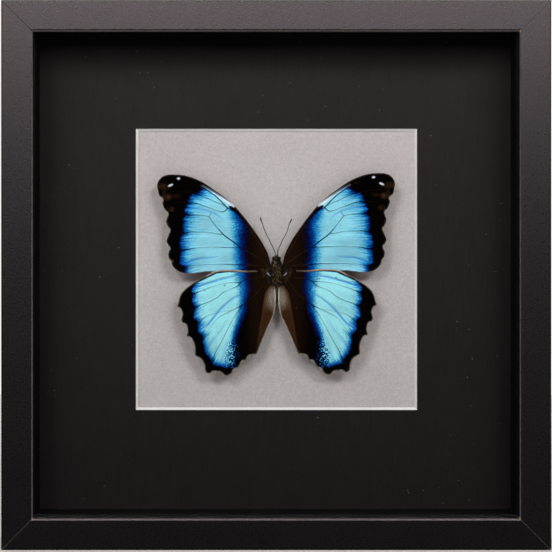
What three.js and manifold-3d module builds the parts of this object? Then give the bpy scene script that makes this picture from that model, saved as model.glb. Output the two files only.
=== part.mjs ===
// Framed butterfly specimen: a deep black box frame with glass, black inner walls, a black
// window mount with a white bevelled edge, a grey card and a blue butterfly held in front of it.
// Units are millimetres. X runs to the right, Y from front to back and Z up. The frame stands
// on Z = 0 with its middle at X = 0 and Y = 0, and its front face looks along -Y.
import * as THREE from "three";
import { mergeVertices } from "three/addons/utils/BufferGeometryUtils.js";
import Module from "manifold-3d";

const wasm = await Module();
wasm.setup();

// Frame
const frameSide = 250;
const frameDepth = 45;
const faceWidth = 14.5;
const wallThickness = 7;
const lipDepth = 6;
const innerEdgeRadius = 1.2;
const outerEdgeRadius = 0.6;
const contactGap = 0.3;
const mitreTrim = 0.2;

// Layers inside the frame, from the front
const glassThickness = 1.8;
const spacerDepth = 22.3;
const spacerShowsPastLip = 0.2;
const mountThickness = 1.2;
const cardThickness = 1.5;
const boardThickness = 2.5;
const layerSide = frameSide - 2 * wallThickness - 1;

// Window in the mount, a little above and right of the middle
const windowSide = 131.7;
const windowX = 0.6;
const windowZ = 126.85;

// Bendable tabs that hold the back board
const tabsPerSide = 2;
const tabSpacing = 110;
const tabWidth = 7;
const tabReach = 10;
const tabFoot = 4.5;
const tabThickness = 0.6;
const tabBendRadius = 1;

// Toothed hanger on the back board
const hangerZ = 214;
const hangerLength = 46;
const hangerHeight = 9;
const hangerFoot = 7;
const hangerRise = 2.6;
const hangerThickness = 0.8;
const toothCount = 9;
const toothPitch = 2.6;
const toothHeight = 1.8;
const rivetRadius = 1.7;
const rivetHeight = 0.8;

// Butterfly: where its thorax stands, and how its wings are set
const specimenX = 0.6;
const specimenZ = 127.8;
const wingHeightAboveCard = 7.4;
const wingThickness = 0.4;
const veinRadius = 0.28;
const wingLift = THREE.MathUtils.degToRad(1.6);
const forewingTurn = THREE.MathUtils.degToRad(0.4);
const hindwingTurn = THREE.MathUtils.degToRad(0.5);

const frontY = -frameDepth / 2;
const glassFront = lipDepth + contactGap;
const spacerFront = glassFront + glassThickness + contactGap;
const mountFront = spacerFront + spacerDepth + contactGap;
const cardFront = mountFront + mountThickness + contactGap;
const boardFront = cardFront + cardThickness + contactGap;
const boardBack = boardFront + boardThickness;

const materials = {
  foil: new THREE.MeshStandardMaterial({ color: 0x2a2829, roughness: 0.45, metalness: 0 }),
  glass: new THREE.MeshStandardMaterial({
    color: 0xf2f6f5,
    roughness: 0.02,
    metalness: 0,
    transparent: true,
    opacity: 0.15,
  }),
  spacer: new THREE.MeshStandardMaterial({ color: 0x121010, roughness: 0.8, metalness: 0 }),
  mount: new THREE.MeshStandardMaterial({ color: 0x1c1919, roughness: 0.95, metalness: 0 }),
  card: new THREE.MeshStandardMaterial({ color: 0xb5afaf, roughness: 0.95, metalness: 0 }),
  hardboard: new THREE.MeshStandardMaterial({ color: 0x6b4a30, roughness: 0.85, metalness: 0 }),
  steel: new THREE.MeshStandardMaterial({ color: 0xb8b8b4, roughness: 0.35, metalness: 1 }),
  foam: new THREE.MeshStandardMaterial({ color: 0xd8d3c6, roughness: 0.95, metalness: 0 }),
  wing: new THREE.MeshStandardMaterial({ color: 0x56b2d2, roughness: 0.4, metalness: 0.2 }),
  body: new THREE.MeshStandardMaterial({ color: 0x2c241c, roughness: 0.9, metalness: 0 }),
  antenna: new THREE.MeshStandardMaterial({ color: 0x17120f, roughness: 0.6, metalness: 0 }),
};

const part = new THREE.Group();

function addMesh(parent, name, geometry, material) {
  const mesh = new THREE.Mesh(geometry, material);
  mesh.name = name;
  parent.add(mesh);
  return mesh;
}

// A closed geometry as a solid for joining and cutting, and back again.
function solidFrom(geometry) {
  const bare = geometry.clone();
  bare.deleteAttribute("normal");
  bare.deleteAttribute("uv");
  const merged = mergeVertices(bare, 1e-4);
  return new wasm.Manifold(
    new wasm.Mesh({
      numProp: 3,
      vertProperties: new Float32Array(merged.attributes.position.array),
      triVerts: new Uint32Array(merged.index.array),
    }),
  );
}

function geometryFrom(solid) {
  const mesh = solid.getMesh();
  const geometry = new THREE.BufferGeometry();
  geometry.setAttribute("position", new THREE.BufferAttribute(mesh.vertProperties, 3));
  geometry.setIndex(new THREE.BufferAttribute(mesh.triVerts, 1));
  geometry.computeVertexNormals();
  return geometry;
}

function boxAt(sizeX, sizeY, sizeZ, x, y, z) {
  return new THREE.BoxGeometry(sizeX, sizeY, sizeZ).translate(x, y, z);
}

// The four sides of the frame's square: the bottom one is made, then turned about the middle.
const sideNames = ["bottom", "left", "top", "right"];

function turnToSide(mesh, side) {
  mesh.rotation.y = (side * Math.PI) / 2;
  mesh.position.z = frameSide / 2;
}

// Four strips with mitred ends. The section is drawn in inset from the frame's outside
// and depth behind its front, and each strip is shorter the further in a point lies.
function addMitredStrips(name, section, material) {
  const geometry = new THREE.ExtrudeGeometry(section, {
    depth: 1,
    steps: 1,
    bevelEnabled: false,
    curveSegments: 5,
  });
  const points = geometry.attributes.position;
  for (let i = 0; i < points.count; i += 1) {
    const inset = points.getX(i);
    const depth = points.getY(i);
    const halfLength = frameSide / 2 - inset - mitreTrim;
    const along = (1 - 2 * points.getZ(i)) * halfLength;
    points.setXYZ(i, along, frontY + depth, inset - frameSide / 2);
  }
  geometry.computeVertexNormals();
  sideNames.forEach((sideName, side) => {
    const mesh = addMesh(part, `${name}_${sideName}`, geometry, material);
    turnToSide(mesh, side);
  });
}

// Frame rail: a front lip over the glass and a side wall, with the lip's inner edge rounded.
function railSection() {
  const section = new THREE.Shape();
  section.moveTo(outerEdgeRadius, 0);
  section.lineTo(faceWidth - innerEdgeRadius, 0);
  section.absarc(
    faceWidth - innerEdgeRadius,
    innerEdgeRadius,
    innerEdgeRadius,
    -Math.PI / 2,
    0,
    false,
  );
  section.lineTo(faceWidth, lipDepth);
  section.lineTo(wallThickness, lipDepth);
  section.lineTo(wallThickness, frameDepth);
  section.lineTo(0, frameDepth);
  section.lineTo(0, outerEdgeRadius);
  section.absarc(
    outerEdgeRadius,
    outerEdgeRadius,
    outerEdgeRadius,
    Math.PI,
    1.5 * Math.PI,
    false,
  );
  return section;
}

// Inner wall strip, between the glass and the mount.
function spacerSection() {
  const outer = wallThickness + contactGap;
  const inner = faceWidth + spacerShowsPastLip;
  const section = new THREE.Shape();
  section.moveTo(outer, spacerFront);
  section.lineTo(inner, spacerFront);
  section.lineTo(inner, spacerFront + spacerDepth);
  section.lineTo(outer, spacerFront + spacerDepth);
  return section;
}

function squareLayer(front, thickness) {
  return boxAt(layerSide, thickness, layerSide, 0, frontY + front + thickness / 2, frameSide / 2);
}

// Mount board with a square window whose edge slopes inwards at 45 degrees.
function mountGeometry() {
  const frontRadius = windowSide / Math.SQRT2;
  const backRadius = (windowSide - 2 * mountThickness) / Math.SQRT2;
  const overshoot = 1;
  const slope = (frontRadius - backRadius) / mountThickness;
  const cutter = new THREE.CylinderGeometry(
    backRadius - slope * overshoot,
    frontRadius + slope * overshoot,
    mountThickness + 2 * overshoot,
    4,
  );
  cutter.rotateY(Math.PI / 4);
  cutter.translate(windowX, frontY + mountFront + mountThickness / 2, windowZ);
  const board = solidFrom(squareLayer(mountFront, mountThickness));
  return geometryFrom(board.subtract(solidFrom(cutter)));
}

// Steel tab bent to an L: a foot against the side wall and a tongue over the back board.
function tabGeometry() {
  const wall = wallThickness + contactGap;
  const front = boardBack + contactGap;
  const outline = new THREE.Shape();
  outline.moveTo(wall + tabBendRadius, front);
  outline.lineTo(wall + tabReach, front);
  outline.lineTo(wall + tabReach, front + tabThickness);
  outline.lineTo(wall + tabBendRadius, front + tabThickness);
  outline.lineTo(wall + tabThickness, front + tabBendRadius);
  outline.lineTo(wall + tabThickness, front + tabFoot);
  outline.lineTo(wall, front + tabFoot);
  outline.lineTo(wall, front + tabBendRadius);
  outline.absarc(
    wall + tabBendRadius,
    front + tabBendRadius,
    tabBendRadius,
    Math.PI,
    1.5 * Math.PI,
    false,
  );
  const geometry = new THREE.ExtrudeGeometry(outline, {
    depth: tabWidth,
    bevelEnabled: false,
    curveSegments: 4,
  });
  const points = geometry.attributes.position;
  for (let i = 0; i < points.count; i += 1) {
    const inset = points.getX(i);
    const depth = points.getY(i);
    const along = tabWidth / 2 - points.getZ(i);
    points.setXYZ(i, along, frontY + depth, inset - frameSide / 2);
  }
  return geometry;
}

function addTabs() {
  for (let side = 0; side < sideNames.length; side += 1) {
    for (let place = 0; place < tabsPerSide; place += 1) {
      const along = (place - (tabsPerSide - 1) / 2) * tabSpacing;
      const geometry = tabGeometry().translate(along, 0, 0);
      const name = `board_tab_${sideNames[side]}_${place + 1}`;
      turnToSide(addMesh(part, name, geometry, materials.steel), side);
    }
  }
}

// Hanger plate: its feet lie on the board, its middle stands clear, and its lower edge is toothed.
function hangerGeometry() {
  const half = hangerLength / 2;
  const footTop = hangerThickness;
  const plateTop = hangerRise + hangerThickness;
  const kneeOuter = half - hangerFoot;
  const kneeInner = kneeOuter - hangerRise;
  const strip = new THREE.Shape();
  strip.moveTo(-half, 0);
  strip.lineTo(-kneeOuter, 0);
  strip.lineTo(-kneeInner, hangerRise);
  strip.lineTo(kneeInner, hangerRise);
  strip.lineTo(kneeOuter, 0);
  strip.lineTo(half, 0);
  strip.lineTo(half, footTop);
  strip.lineTo(kneeOuter + hangerThickness / 2, footTop);
  strip.lineTo(kneeInner + hangerThickness / 2, plateTop);
  strip.lineTo(-kneeInner - hangerThickness / 2, plateTop);
  strip.lineTo(-kneeOuter - hangerThickness / 2, footTop);
  strip.lineTo(-half, footTop);
  const plate = new THREE.ExtrudeGeometry(strip, { depth: hangerHeight, bevelEnabled: false });
  const bite = new THREE.Shape();
  const biteHalf = (toothCount * toothPitch) / 2;
  bite.moveTo(-biteHalf, -1);
  for (let tooth = 0; tooth < toothCount; tooth += 1) {
    const start = -biteHalf + tooth * toothPitch;
    bite.lineTo(start, 0);
    bite.lineTo(start + toothPitch / 2, toothHeight);
  }
  bite.lineTo(biteHalf, 0);
  bite.lineTo(biteHalf, -1);
  const cutter = new THREE.ExtrudeGeometry(bite, { depth: 3 * plateTop, bevelEnabled: false });
  cutter.rotateX(Math.PI / 2);
  cutter.translate(0, 2 * plateTop, 0);
  const made = geometryFrom(solidFrom(plate).subtract(solidFrom(cutter)));
  return made.translate(0, frontY + boardBack + contactGap, hangerZ);
}

function rivetGeometry(x) {
  const profile = [new THREE.Vector2(0, 0), new THREE.Vector2(rivetRadius, 0)];
  const domeSteps = 4;
  for (let step = 1; step <= domeSteps; step += 1) {
    const angle = (step / domeSteps) * (Math.PI / 2);
    const radius = step === domeSteps ? 0 : rivetRadius * Math.cos(angle);
    profile.push(new THREE.Vector2(radius, rivetHeight * Math.sin(angle)));
  }
  const dome = new THREE.LatheGeometry(profile, 16);
  const base = boardBack + 2 * contactGap + hangerThickness;
  return dome.translate(x, frontY + base, hangerZ + hangerHeight / 2);
}

addMitredStrips("rail", railSection(), materials.foil);
addMitredStrips("spacer", spacerSection(), materials.spacer);
addMesh(part, "glass", squareLayer(glassFront, glassThickness), materials.glass);
addMesh(part, "window_mount", mountGeometry(), materials.mount);
addMesh(part, "background_card", squareLayer(cardFront, cardThickness), materials.card);
addMesh(part, "back_board", squareLayer(boardFront, boardThickness), materials.hardboard);
addTabs();
addMesh(part, "hanger", hangerGeometry(), materials.steel);
const rivetOffset = (hangerLength - hangerFoot) / 2;
addMesh(part, "hanger_rivet_left", rivetGeometry(-rivetOffset), materials.steel);
addMesh(part, "hanger_rivet_right", rivetGeometry(rivetOffset), materials.steel);

// The butterfly. Its group's origin is the middle of the wing roots: X runs to the right,
// Y away from the viewer and Z towards the head. Wing outlines are the right side's.
const specimen = new THREE.Group();
specimen.position.set(specimenX, frontY + cardFront - wingHeightAboveCard, specimenZ);
part.add(specimen);

const forewingOutline = [
  [3.0, 0.6],
  [3.2, 3.4],
  [4.4, 7.2],
  [7.5, 13.1],
  [11.5, 19.1],
  [15.7, 24.6],
  [21.2, 30.7],
  [28.0, 35.9],
  [35.0, 40.5],
  [42.0, 43.1],
  [48.4, 43.7],
  [52.2, 43.1],
  [54.5, 41.2],
  [55.4, 38.8],
  [55.0, 36.2],
  [54.5, 34.1],
  [52.9, 32.3],
  [53.0, 30.3],
  [52.1, 27.8],
  [50.6, 25.6],
  [50.8, 23.8],
  [51.3, 21.6],
  [50.4, 19.4],
  [49.7, 17.7],
  [50.4, 15.1],
  [51.2, 12.8],
  [50.5, 10.9],
  [49.8, 9.4],
  [50.4, 6.9],
  [50.2, 4.9],
  [49.3, 3.2],
  [48.5, 1.2],
  [46.3, -1.0],
  [43.2, -2.2],
  [38.0, -2.3],
  [31.4, -1.6],
  [20.0, -2.3],
  [9.0, -2.0],
  [3.6, -1.4],
];

const hindwingOutline = [
  [3.4, -2.2],
  [8.0, -1.4],
  [14.0, -1.3],
  [22.5, -0.8],
  [28.5, -1.3],
  [33.6, -3.8],
  [40.4, -7.8],
  [43.8, -10.7],
  [45.3, -13.4],
  [45.8, -15.6],
  [46.4, -17.7],
  [45.2, -18.6],
  [44.1, -20.8],
  [44.6, -23.6],
  [44.1, -25.1],
  [42.5, -26.2],
  [41.7, -29.0],
  [42.1, -31.5],
  [40.4, -32.3],
  [38.8, -34.6],
  [38.2, -37.2],
  [38.4, -40.0],
  [36.6, -41.2],
  [34.7, -42.8],
  [33.4, -45.6],
  [33.3, -48.1],
  [31.6, -48.9],
  [29.8, -48.0],
  [26.4, -48.5],
  [24.1, -50.0],
  [21.7, -49.2],
  [20.2, -47.1],
  [18.4, -46.2],
  [16.4, -43.4],
  [14.9, -43.1],
  [13.3, -40.9],
  [10.9, -40.4],
  [9.9, -40.4],
  [8.5, -37.7],
  [5.2, -29.9],
  [1.7, -22.2],
  [0.6, -17.0],
  [0.6, -12.0],
  [0.9, -9.0],
  [2.6, -7.6],
];

// Veins stand a little proud of the wing. Each runs from the root or a fork towards the edge.
const forewingVeins = [
  [[5, 2], [10.5, 5.9], [16, 9.1], [24.5, 15.5], [31.4, 24.0]],
  [[4.2, 4.5], [10, 14.2], [17.5, 24.4], [22.6, 28.0]],
  [[22.6, 28.0], [28, 33.4], [34.8, 37.8], [44, 41.2]],
  [[22.6, 28.0], [28, 30.8], [34, 33.4], [40, 35.2], [50, 36.0]],
  [[22.6, 28.0], [24.4, 26.3], [30, 27.7], [36.5, 30.0], [51, 30.6]],
  [[31.4, 24.0], [37, 24.8], [43, 24.6], [50, 23.0]],
  [[24.8, 15.6], [32, 16.8], [40, 16.9], [49.4, 15.4]],
  [[16.8, 9.3], [25, 9.8], [36, 9.6], [49.2, 7.4]],
  [[5, 0.8], [16, 1.3], [28, 1.9], [38, 1.4], [47.6, 0.6]],
];

const hindwingVeins = [
  [[6, -3.4], [14, -5.5], [20, -6.5], [28, -7.9], [36, -10.6], [44.6, -15.6]],
  [[14, -5.5], [18.2, -8.3], [25, -11.2], [31, -15.2], [43.6, -22.4]],
  [[4.6, -5.2], [10, -12.4], [16, -17.2], [24, -21.1], [31, -27.0], [37.6, -33.4]],
  [[20, -19.4], [28, -20.8], [35, -24.2], [41.4, -28.8]],
  [[16, -17.2], [21.5, -25.5], [26, -34.0], [32.8, -47.4]],
  [[4.2, -7], [9, -16], [13, -26], [17, -36], [21, -46.4]],
];

function smoothOutline(points, side) {
  const corners = points.map(([x, z]) => new THREE.Vector2(side * x, z));
  const curve = new THREE.SplineCurve([...corners, corners[0]]);
  return new THREE.Shape(curve.getPoints(3 * points.length).slice(0, -1));
}

// A raised vein: a slim four-sided bar along the curve, sunk halfway into the wing's face.
function veinBar(points, side) {
  const path = new THREE.CatmullRomCurve3(
    points.map(([x, z]) => new THREE.Vector3(side * x, -wingThickness, z)),
  );
  const section = new THREE.Shape([
    new THREE.Vector2(veinRadius, 0),
    new THREE.Vector2(0, veinRadius),
    new THREE.Vector2(-veinRadius, 0),
    new THREE.Vector2(0, -veinRadius),
  ]);
  return new THREE.ExtrudeGeometry(section, {
    extrudePath: path,
    steps: 2 * points.length,
    bevelEnabled: false,
  });
}

function wingGeometry(outline, veins, side) {
  const plate = new THREE.ExtrudeGeometry(smoothOutline(outline, side), {
    depth: wingThickness,
    bevelEnabled: false,
  });
  plate.rotateX(Math.PI / 2);
  let solid = solidFrom(plate);
  for (const vein of veins) {
    solid = solid.add(solidFrom(veinBar(vein, side)));
  }
  return geometryFrom(solid);
}

// The forewings lie behind the hindwings where the two overlap, and both tips rise a little.
function addWings() {
  const layerStep = wingThickness + contactGap + veinRadius;
  for (const [sideName, side] of [["left", -1], ["right", 1]]) {
    const forewing = addMesh(
      specimen,
      `forewing_${sideName}`,
      wingGeometry(forewingOutline, forewingVeins, side),
      materials.wing,
    );
    forewing.position.y = layerStep;
    forewing.rotation.set(0, -forewingTurn, -side * wingLift);
    const hindwing = addMesh(
      specimen,
      `hindwing_${sideName}`,
      wingGeometry(hindwingOutline, hindwingVeins, side),
      materials.wing,
    );
    hindwing.rotation.set(0, -hindwingTurn, -side * wingLift);
  }
}

// Body sizes, measured from the wing roots' middle
const headCentre = [-0.1, 0.2, 4.2];
const headRadii = [1.25, 1.25, 1.1];
const eyeRadius = 0.95;
const eyeOffset = 1.3;
const palpLength = 2.0;
const palpRadius = 0.32;
const thoraxCentre = [0, 0.4, -2.6];
const thoraxRadii = [2.6, 3.2, 5.3];
const abdomenTop = -8.3;
const abdomenLength = 9.5;
const abdomenRadius = 1.7;
const abdomenY = 2.6;
const blockWidth = 4;
const blockHeight = 6;

function ellipsoid(centre, radii, around, along) {
  const ball = new THREE.SphereGeometry(1, around, along);
  ball.scale(...radii);
  return ball.translate(...centre);
}

// Head with two round eyes and two short mouth feelers that point forwards.
function headGeometry() {
  const [x, y, z] = headCentre;
  let solid = solidFrom(ellipsoid(headCentre, headRadii, 16, 10));
  for (const side of [-1, 1]) {
    const eyeCentre = [x + side * eyeOffset, y - 0.1, z + 0.1];
    const eye = ellipsoid(eyeCentre, [eyeRadius, eyeRadius, eyeRadius], 14, 8);
    const feeler = new THREE.ConeGeometry(palpRadius, palpLength, 8);
    feeler.rotateX(Math.PI / 2);
    feeler.translate(x + side * 0.5, y + 0.2, z + headRadii[2] + 0.1);
    solid = solid.add(solidFrom(eye)).add(solidFrom(feeler));
  }
  return geometryFrom(solid);
}

// Abdomen: a short tapered spindle under the inner folds of the hindwings.
function abdomenGeometry() {
  const steps = 8;
  const profile = [new THREE.Vector2(0, 0)];
  for (let step = 1; step < steps; step += 1) {
    const share = step / steps;
    const radius = abdomenRadius * Math.pow(Math.sin(Math.PI * share ** 0.7), 0.6);
    profile.push(new THREE.Vector2(radius, -abdomenLength * share));
  }
  profile.push(new THREE.Vector2(0, -abdomenLength));
  const spindle = new THREE.LatheGeometry(profile.reverse(), 14);
  spindle.rotateX(Math.PI / 2);
  return spindle.translate(0, abdomenY, abdomenTop);
}

// A thin round limb along a curve: an antenna or a leg.
function limb(points, radius, steps) {
  const section = new THREE.Shape();
  section.absarc(0, 0, radius, 0, 2 * Math.PI, false);
  return new THREE.ExtrudeGeometry(section, {
    extrudePath: new THREE.CatmullRomCurve3(points.map((p) => new THREE.Vector3(...p))),
    steps,
    curveSegments: 3,
    bevelEnabled: false,
  });
}

const antennaRadius = 0.2;
const clubRadius = 0.34;
const clubLength = 2.6;
const leftAntenna = [
  [-0.6, -0.4, 5.9],
  [-1.0, -0.7, 7.8],
  [-3.0, -1.6, 12.0],
  [-5.3, -2.4, 16.6],
  [-6.6, -2.8, 20.4],
  [-7.7, -3.0, 23.4],
];
const rightAntenna = [
  [0.3, -0.4, 5.9],
  [0.6, -0.7, 7.8],
  [2.3, -1.6, 12.0],
  [4.6, -2.4, 16.3],
  [5.7, -2.8, 19.8],
  [7.0, -3.0, 22.7],
];

// The last stretch of an antenna swells to a slim club.
function antennaGeometry(points) {
  const tip = new THREE.Vector3(...points.at(-1));
  const direction = tip.clone().sub(new THREE.Vector3(...points.at(-2))).normalize();
  const club = new THREE.SphereGeometry(1, 8, 6);
  club.scale(clubRadius, clubLength / 2, clubRadius);
  const turn = new THREE.Quaternion().setFromUnitVectors(new THREE.Vector3(0, 1, 0), direction);
  club.applyQuaternion(turn);
  const centre = tip.clone().addScaledVector(direction, -clubLength / 4);
  club.translate(centre.x, centre.y, centre.z);
  return geometryFrom(solidFrom(limb(points, antennaRadius, 12)).add(solidFrom(club)));
}

// Legs are folded back under the thorax, two on each side beside the foam block.
const legRadius = 0.24;
const legPaths = {
  middle: [
    [2.4, 2.9, -1.6],
    [3.6, 3.8, 1.2],
    [3.9, 4.8, -2.0],
    [3.2, 5.8, -5.4],
  ],
  hind: [
    [2.4, 2.9, -4.4],
    [4.6, 3.9, -6.2],
    [4.9, 4.9, -10.0],
    [4.2, 5.9, -13.6],
  ],
};

function addBody() {
  addMesh(specimen, "head", headGeometry(), materials.body);
  addMesh(specimen, "thorax", ellipsoid(thoraxCentre, thoraxRadii, 20, 14), materials.body);
  addMesh(specimen, "abdomen", abdomenGeometry(), materials.body);
  addMesh(specimen, "antenna_left", antennaGeometry(leftAntenna), materials.antenna);
  addMesh(specimen, "antenna_right", antennaGeometry(rightAntenna), materials.antenna);
  for (const [sideName, side] of [["left", -1], ["right", 1]]) {
    for (const [pair, path] of Object.entries(legPaths)) {
      const points = path.map(([x, y, z]) => [side * x, y, z]);
      const geometry = limb(points, legRadius, 9);
      addMesh(specimen, `leg_${pair}_${sideName}`, geometry, materials.antenna);
    }
  }
}

// A foam block glued to the card carries the thorax.
function addBlock() {
  const front = thoraxCentre[1] + thoraxRadii[1] + contactGap;
  const back = wingHeightAboveCard - contactGap;
  const depth = back - front;
  const block = boxAt(blockWidth, depth, blockHeight, 0, front + depth / 2, thoraxCentre[2]);
  addMesh(specimen, "mounting_block", block, materials.foam);
}

addWings();
addBody();
addBlock();

export default part;
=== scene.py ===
"""Looks of the framed butterfly specimen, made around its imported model.

The row frame is in metres: X to the right, Y from front to back, Z up. The butterfly's own
shapes are in millimetres around the middle of its wing roots, with X outwards on each side.
"""
import math

import bmesh
import bpy
import numpy as np
from mathutils import Matrix, Vector, noise
from mathutils.geometry import delaunay_2d_cdt


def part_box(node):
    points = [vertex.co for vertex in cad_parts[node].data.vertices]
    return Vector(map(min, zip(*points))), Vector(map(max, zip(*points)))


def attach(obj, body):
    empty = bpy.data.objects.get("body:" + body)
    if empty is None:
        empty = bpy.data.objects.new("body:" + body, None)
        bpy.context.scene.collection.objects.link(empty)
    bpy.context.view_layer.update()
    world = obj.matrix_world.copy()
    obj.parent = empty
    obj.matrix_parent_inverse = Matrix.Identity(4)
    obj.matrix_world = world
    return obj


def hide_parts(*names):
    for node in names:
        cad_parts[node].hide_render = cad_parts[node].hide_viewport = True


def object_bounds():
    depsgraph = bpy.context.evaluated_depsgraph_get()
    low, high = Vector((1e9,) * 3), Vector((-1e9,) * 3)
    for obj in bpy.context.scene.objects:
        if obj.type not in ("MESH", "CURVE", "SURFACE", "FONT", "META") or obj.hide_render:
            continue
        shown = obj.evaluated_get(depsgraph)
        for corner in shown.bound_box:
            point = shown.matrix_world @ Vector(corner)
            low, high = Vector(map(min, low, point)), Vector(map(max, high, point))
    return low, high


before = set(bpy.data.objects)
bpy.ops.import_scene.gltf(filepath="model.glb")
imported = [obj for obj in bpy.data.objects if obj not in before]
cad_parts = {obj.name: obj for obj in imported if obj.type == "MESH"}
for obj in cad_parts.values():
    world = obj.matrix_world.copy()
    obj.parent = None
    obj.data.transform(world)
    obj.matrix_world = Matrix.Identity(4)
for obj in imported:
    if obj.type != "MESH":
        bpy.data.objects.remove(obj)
cad_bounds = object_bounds()

MM = 0.001
SIDES = {"left": -1, "right": 1}

# The camera stands square to the front, a little left of the middle and above it
CAMERA_X = -0.016
CAMERA_Z = 0.150
CAMERA_DISTANCE = 1.0
PICTURE_PIXELS = 552
PIXELS_PER_METRE = 2201
PRINCIPAL_PIXEL = (241, 220)
SENSOR_WIDTH = 36

# Frame rails
FACE_WIDTH = 14.5
WALL_THICKNESS = 7
LIP_DEPTH = 6
INNER_EDGE_RADIUS = 1.2
OUTER_EDGE_RADIUS = 0.6
MITRE_GAP = 0.03
MITRE_GROOVE = 0.3

# Where the butterfly stands, and how its wings are set
SPECIMEN_X = 0.6
SPECIMEN_Z = 127.8
HEIGHT_ABOVE_CARD = 7.4
WING_LIFT = math.radians(1.6)
FOREWING_TURN = math.radians(0.4)
HINDWING_TURN = math.radians(0.5)
FOREWING_STEP = 0.98
WING_MIDDLE = -0.22
MEMBRANE = 0.12

FOREWING_OUTLINE = [
    (3.0, 0.6), (3.2, 3.4), (4.4, 7.2), (7.5, 13.1), (11.5, 19.1), (15.7, 24.6), (21.2, 30.7),
    (28.0, 35.9), (35.0, 40.5), (42.0, 43.1), (48.4, 43.7), (52.2, 43.1), (54.5, 41.2),
    (55.4, 38.8), (55.0, 36.2), (54.5, 34.1), (52.9, 32.3), (53.0, 30.3), (52.1, 27.8),
    (50.6, 25.6), (50.8, 23.8), (51.3, 21.6), (50.4, 19.4), (49.7, 17.7), (50.4, 15.1),
    (51.2, 12.8), (50.5, 10.9), (49.8, 9.4), (50.4, 6.9), (50.2, 4.9), (49.3, 3.2),
    (48.5, 1.2), (46.3, -1.0), (43.2, -2.2), (38.0, -2.3), (31.4, -1.6), (20.0, -2.3),
    (9.0, -2.0), (3.6, -1.4),
]
HINDWING_OUTLINE = [
    (3.4, -2.2), (8.0, -1.4), (14.0, -1.3), (22.5, -0.8), (28.5, -1.3), (33.6, -3.8),
    (40.4, -7.8), (43.8, -10.7), (45.3, -13.4), (45.8, -15.6), (46.4, -17.7), (45.2, -18.6),
    (44.1, -20.8), (44.6, -23.6), (44.1, -25.1), (42.5, -26.2), (41.7, -29.0), (42.1, -31.5),
    (40.4, -32.3), (38.9, -34.6), (38.4, -37.2), (38.4, -40.2), (37.0, -41.5), (35.2, -42.6),
    (34.0, -45.0), (33.6, -47.9), (32.0, -49.0), (29.8, -48.1), (26.6, -48.5), (24.1, -50.0),
    (21.7, -49.2), (20.2, -47.1), (18.4, -46.2), (16.4, -43.4), (14.9, -43.1), (13.3, -40.9),
    (10.9, -40.4), (9.9, -40.4), (8.5, -37.7), (5.2, -29.9), (1.7, -22.2), (0.6, -17.0),
    (0.6, -12.0), (0.9, -9.0), (2.6, -7.6),
]

# Outer border of each wing's blue field, and its limit along the leading edge
FOREWING_BORDER = [
    (43.3, -4.0), (43.3, -0.8), (43.3, 0.3), (43.9, 1.0), (45.0, 1.4), (45.9, 2.2), (45.6, 3.3),
    (45.3, 4.5), (45.5, 6.0), (45.2, 7.4), (44.5, 8.4), (45.3, 9.0), (45.4, 10.3), (45.5, 11.5),
    (45.3, 13.0), (45.0, 14.5), (44.2, 15.9), (43.4, 16.9), (44.0, 18.0), (44.0, 20.0),
    (43.9, 22.0), (43.6, 23.5), (43.0, 24.2), (42.2, 25.0), (42.9, 25.5), (43.0, 27.0),
    (42.6, 28.5), (41.3, 30.4), (41.6, 31.0), (41.0, 32.3), (40.2, 34.0), (39.8, 34.9),
    (37.5, 35.2), (36.0, 36.0), (35.3, 36.5), (34.6, 37.6), (35.0, 38.9),
]
FOREWING_LEAD = [
    (35.0, 38.9), (31.0, 36.7), (28.0, 34.8), (25.0, 32.9), (22.0, 30.8), (19.6, 29.0),
    (22.0, 28.5), (20.5, 27.2), (17.5, 25.0), (14.0, 21.4), (9.0, 15.0), (5.0, 8.0),
]
HINDWING_BORDER = [
    (20.6, -47.6), (22.3, -46.3), (23.0, -46.9), (24.5, -46.8), (25.8, -46.3), (27.3, -45.9),
    (29.0, -45.7), (30.3, -45.2), (30.6, -44.2), (31.2, -43.0), (32.2, -41.6), (33.4, -40.5),
    (34.0, -39.2), (34.4, -37.0), (34.8, -35.5), (35.3, -34.0), (35.2, -32.5), (35.3, -31.2),
    (36.3, -30.7), (37.3, -29.0), (37.4, -27.0), (37.2, -25.6), (37.7, -24.6), (38.7, -24.0),
    (39.2, -23.0), (39.2, -21.5), (38.9, -19.5), (38.4, -18.2), (38.9, -17.3), (39.6, -16.2),
    (39.9, -15.0), (39.8, -13.2), (39.6, -12.0), (40.0, -10.5), (39.8, -8.9), (38.8, -7.4),
]
HINDWING_LEAD = [
    (38.8, -7.4), (36.5, -6.2), (33.0, -4.5), (28.0, -2.2), (22.5, -1.6), (14.0, -2.0),
    (8.0, -2.4), (4.0, -3.4),
]

# At each height Z, the X where the dark wing root ends, where it is deep blue and where it is pale
FOREWING_RAMP = [
    (-3.0, 13.2, 16.0, 20.6), (2.0, 12.6, 15.8, 20.8), (5.0, 13.6, 16.7, 21.3),
    (10.0, 12.8, 17.1, 20.8), (15.0, 12.4, 16.9, 21.4), (20.0, 13.0, 15.9, 21.8),
    (24.0, 16.1, 17.8, 23.0), (26.0, 18.2, 19.2, 22.6), (27.6, 20.4, 21.2, 23.6),
    (28.6, 18.6, 19.2, 20.4), (30.0, 16.0, 17.0, 19.0),
]
HINDWING_RAMP = [
    (-47.0, 21.0, 22.4, 25.5), (-42.0, 19.6, 21.2, 24.8), (-36.0, 19.6, 20.8, 22.9),
    (-30.0, 17.2, 19.3, 21.8), (-24.5, 15.2, 17.4, 20.2), (-20.0, 13.4, 15.7, 18.9),
    (-15.0, 12.9, 15.1, 18.6), (-10.0, 11.3, 14.2, 19.2), (-4.0, 11.9, 14.9, 20.6),
    (0.0, 12.3, 15.3, 21.5),
]

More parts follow.
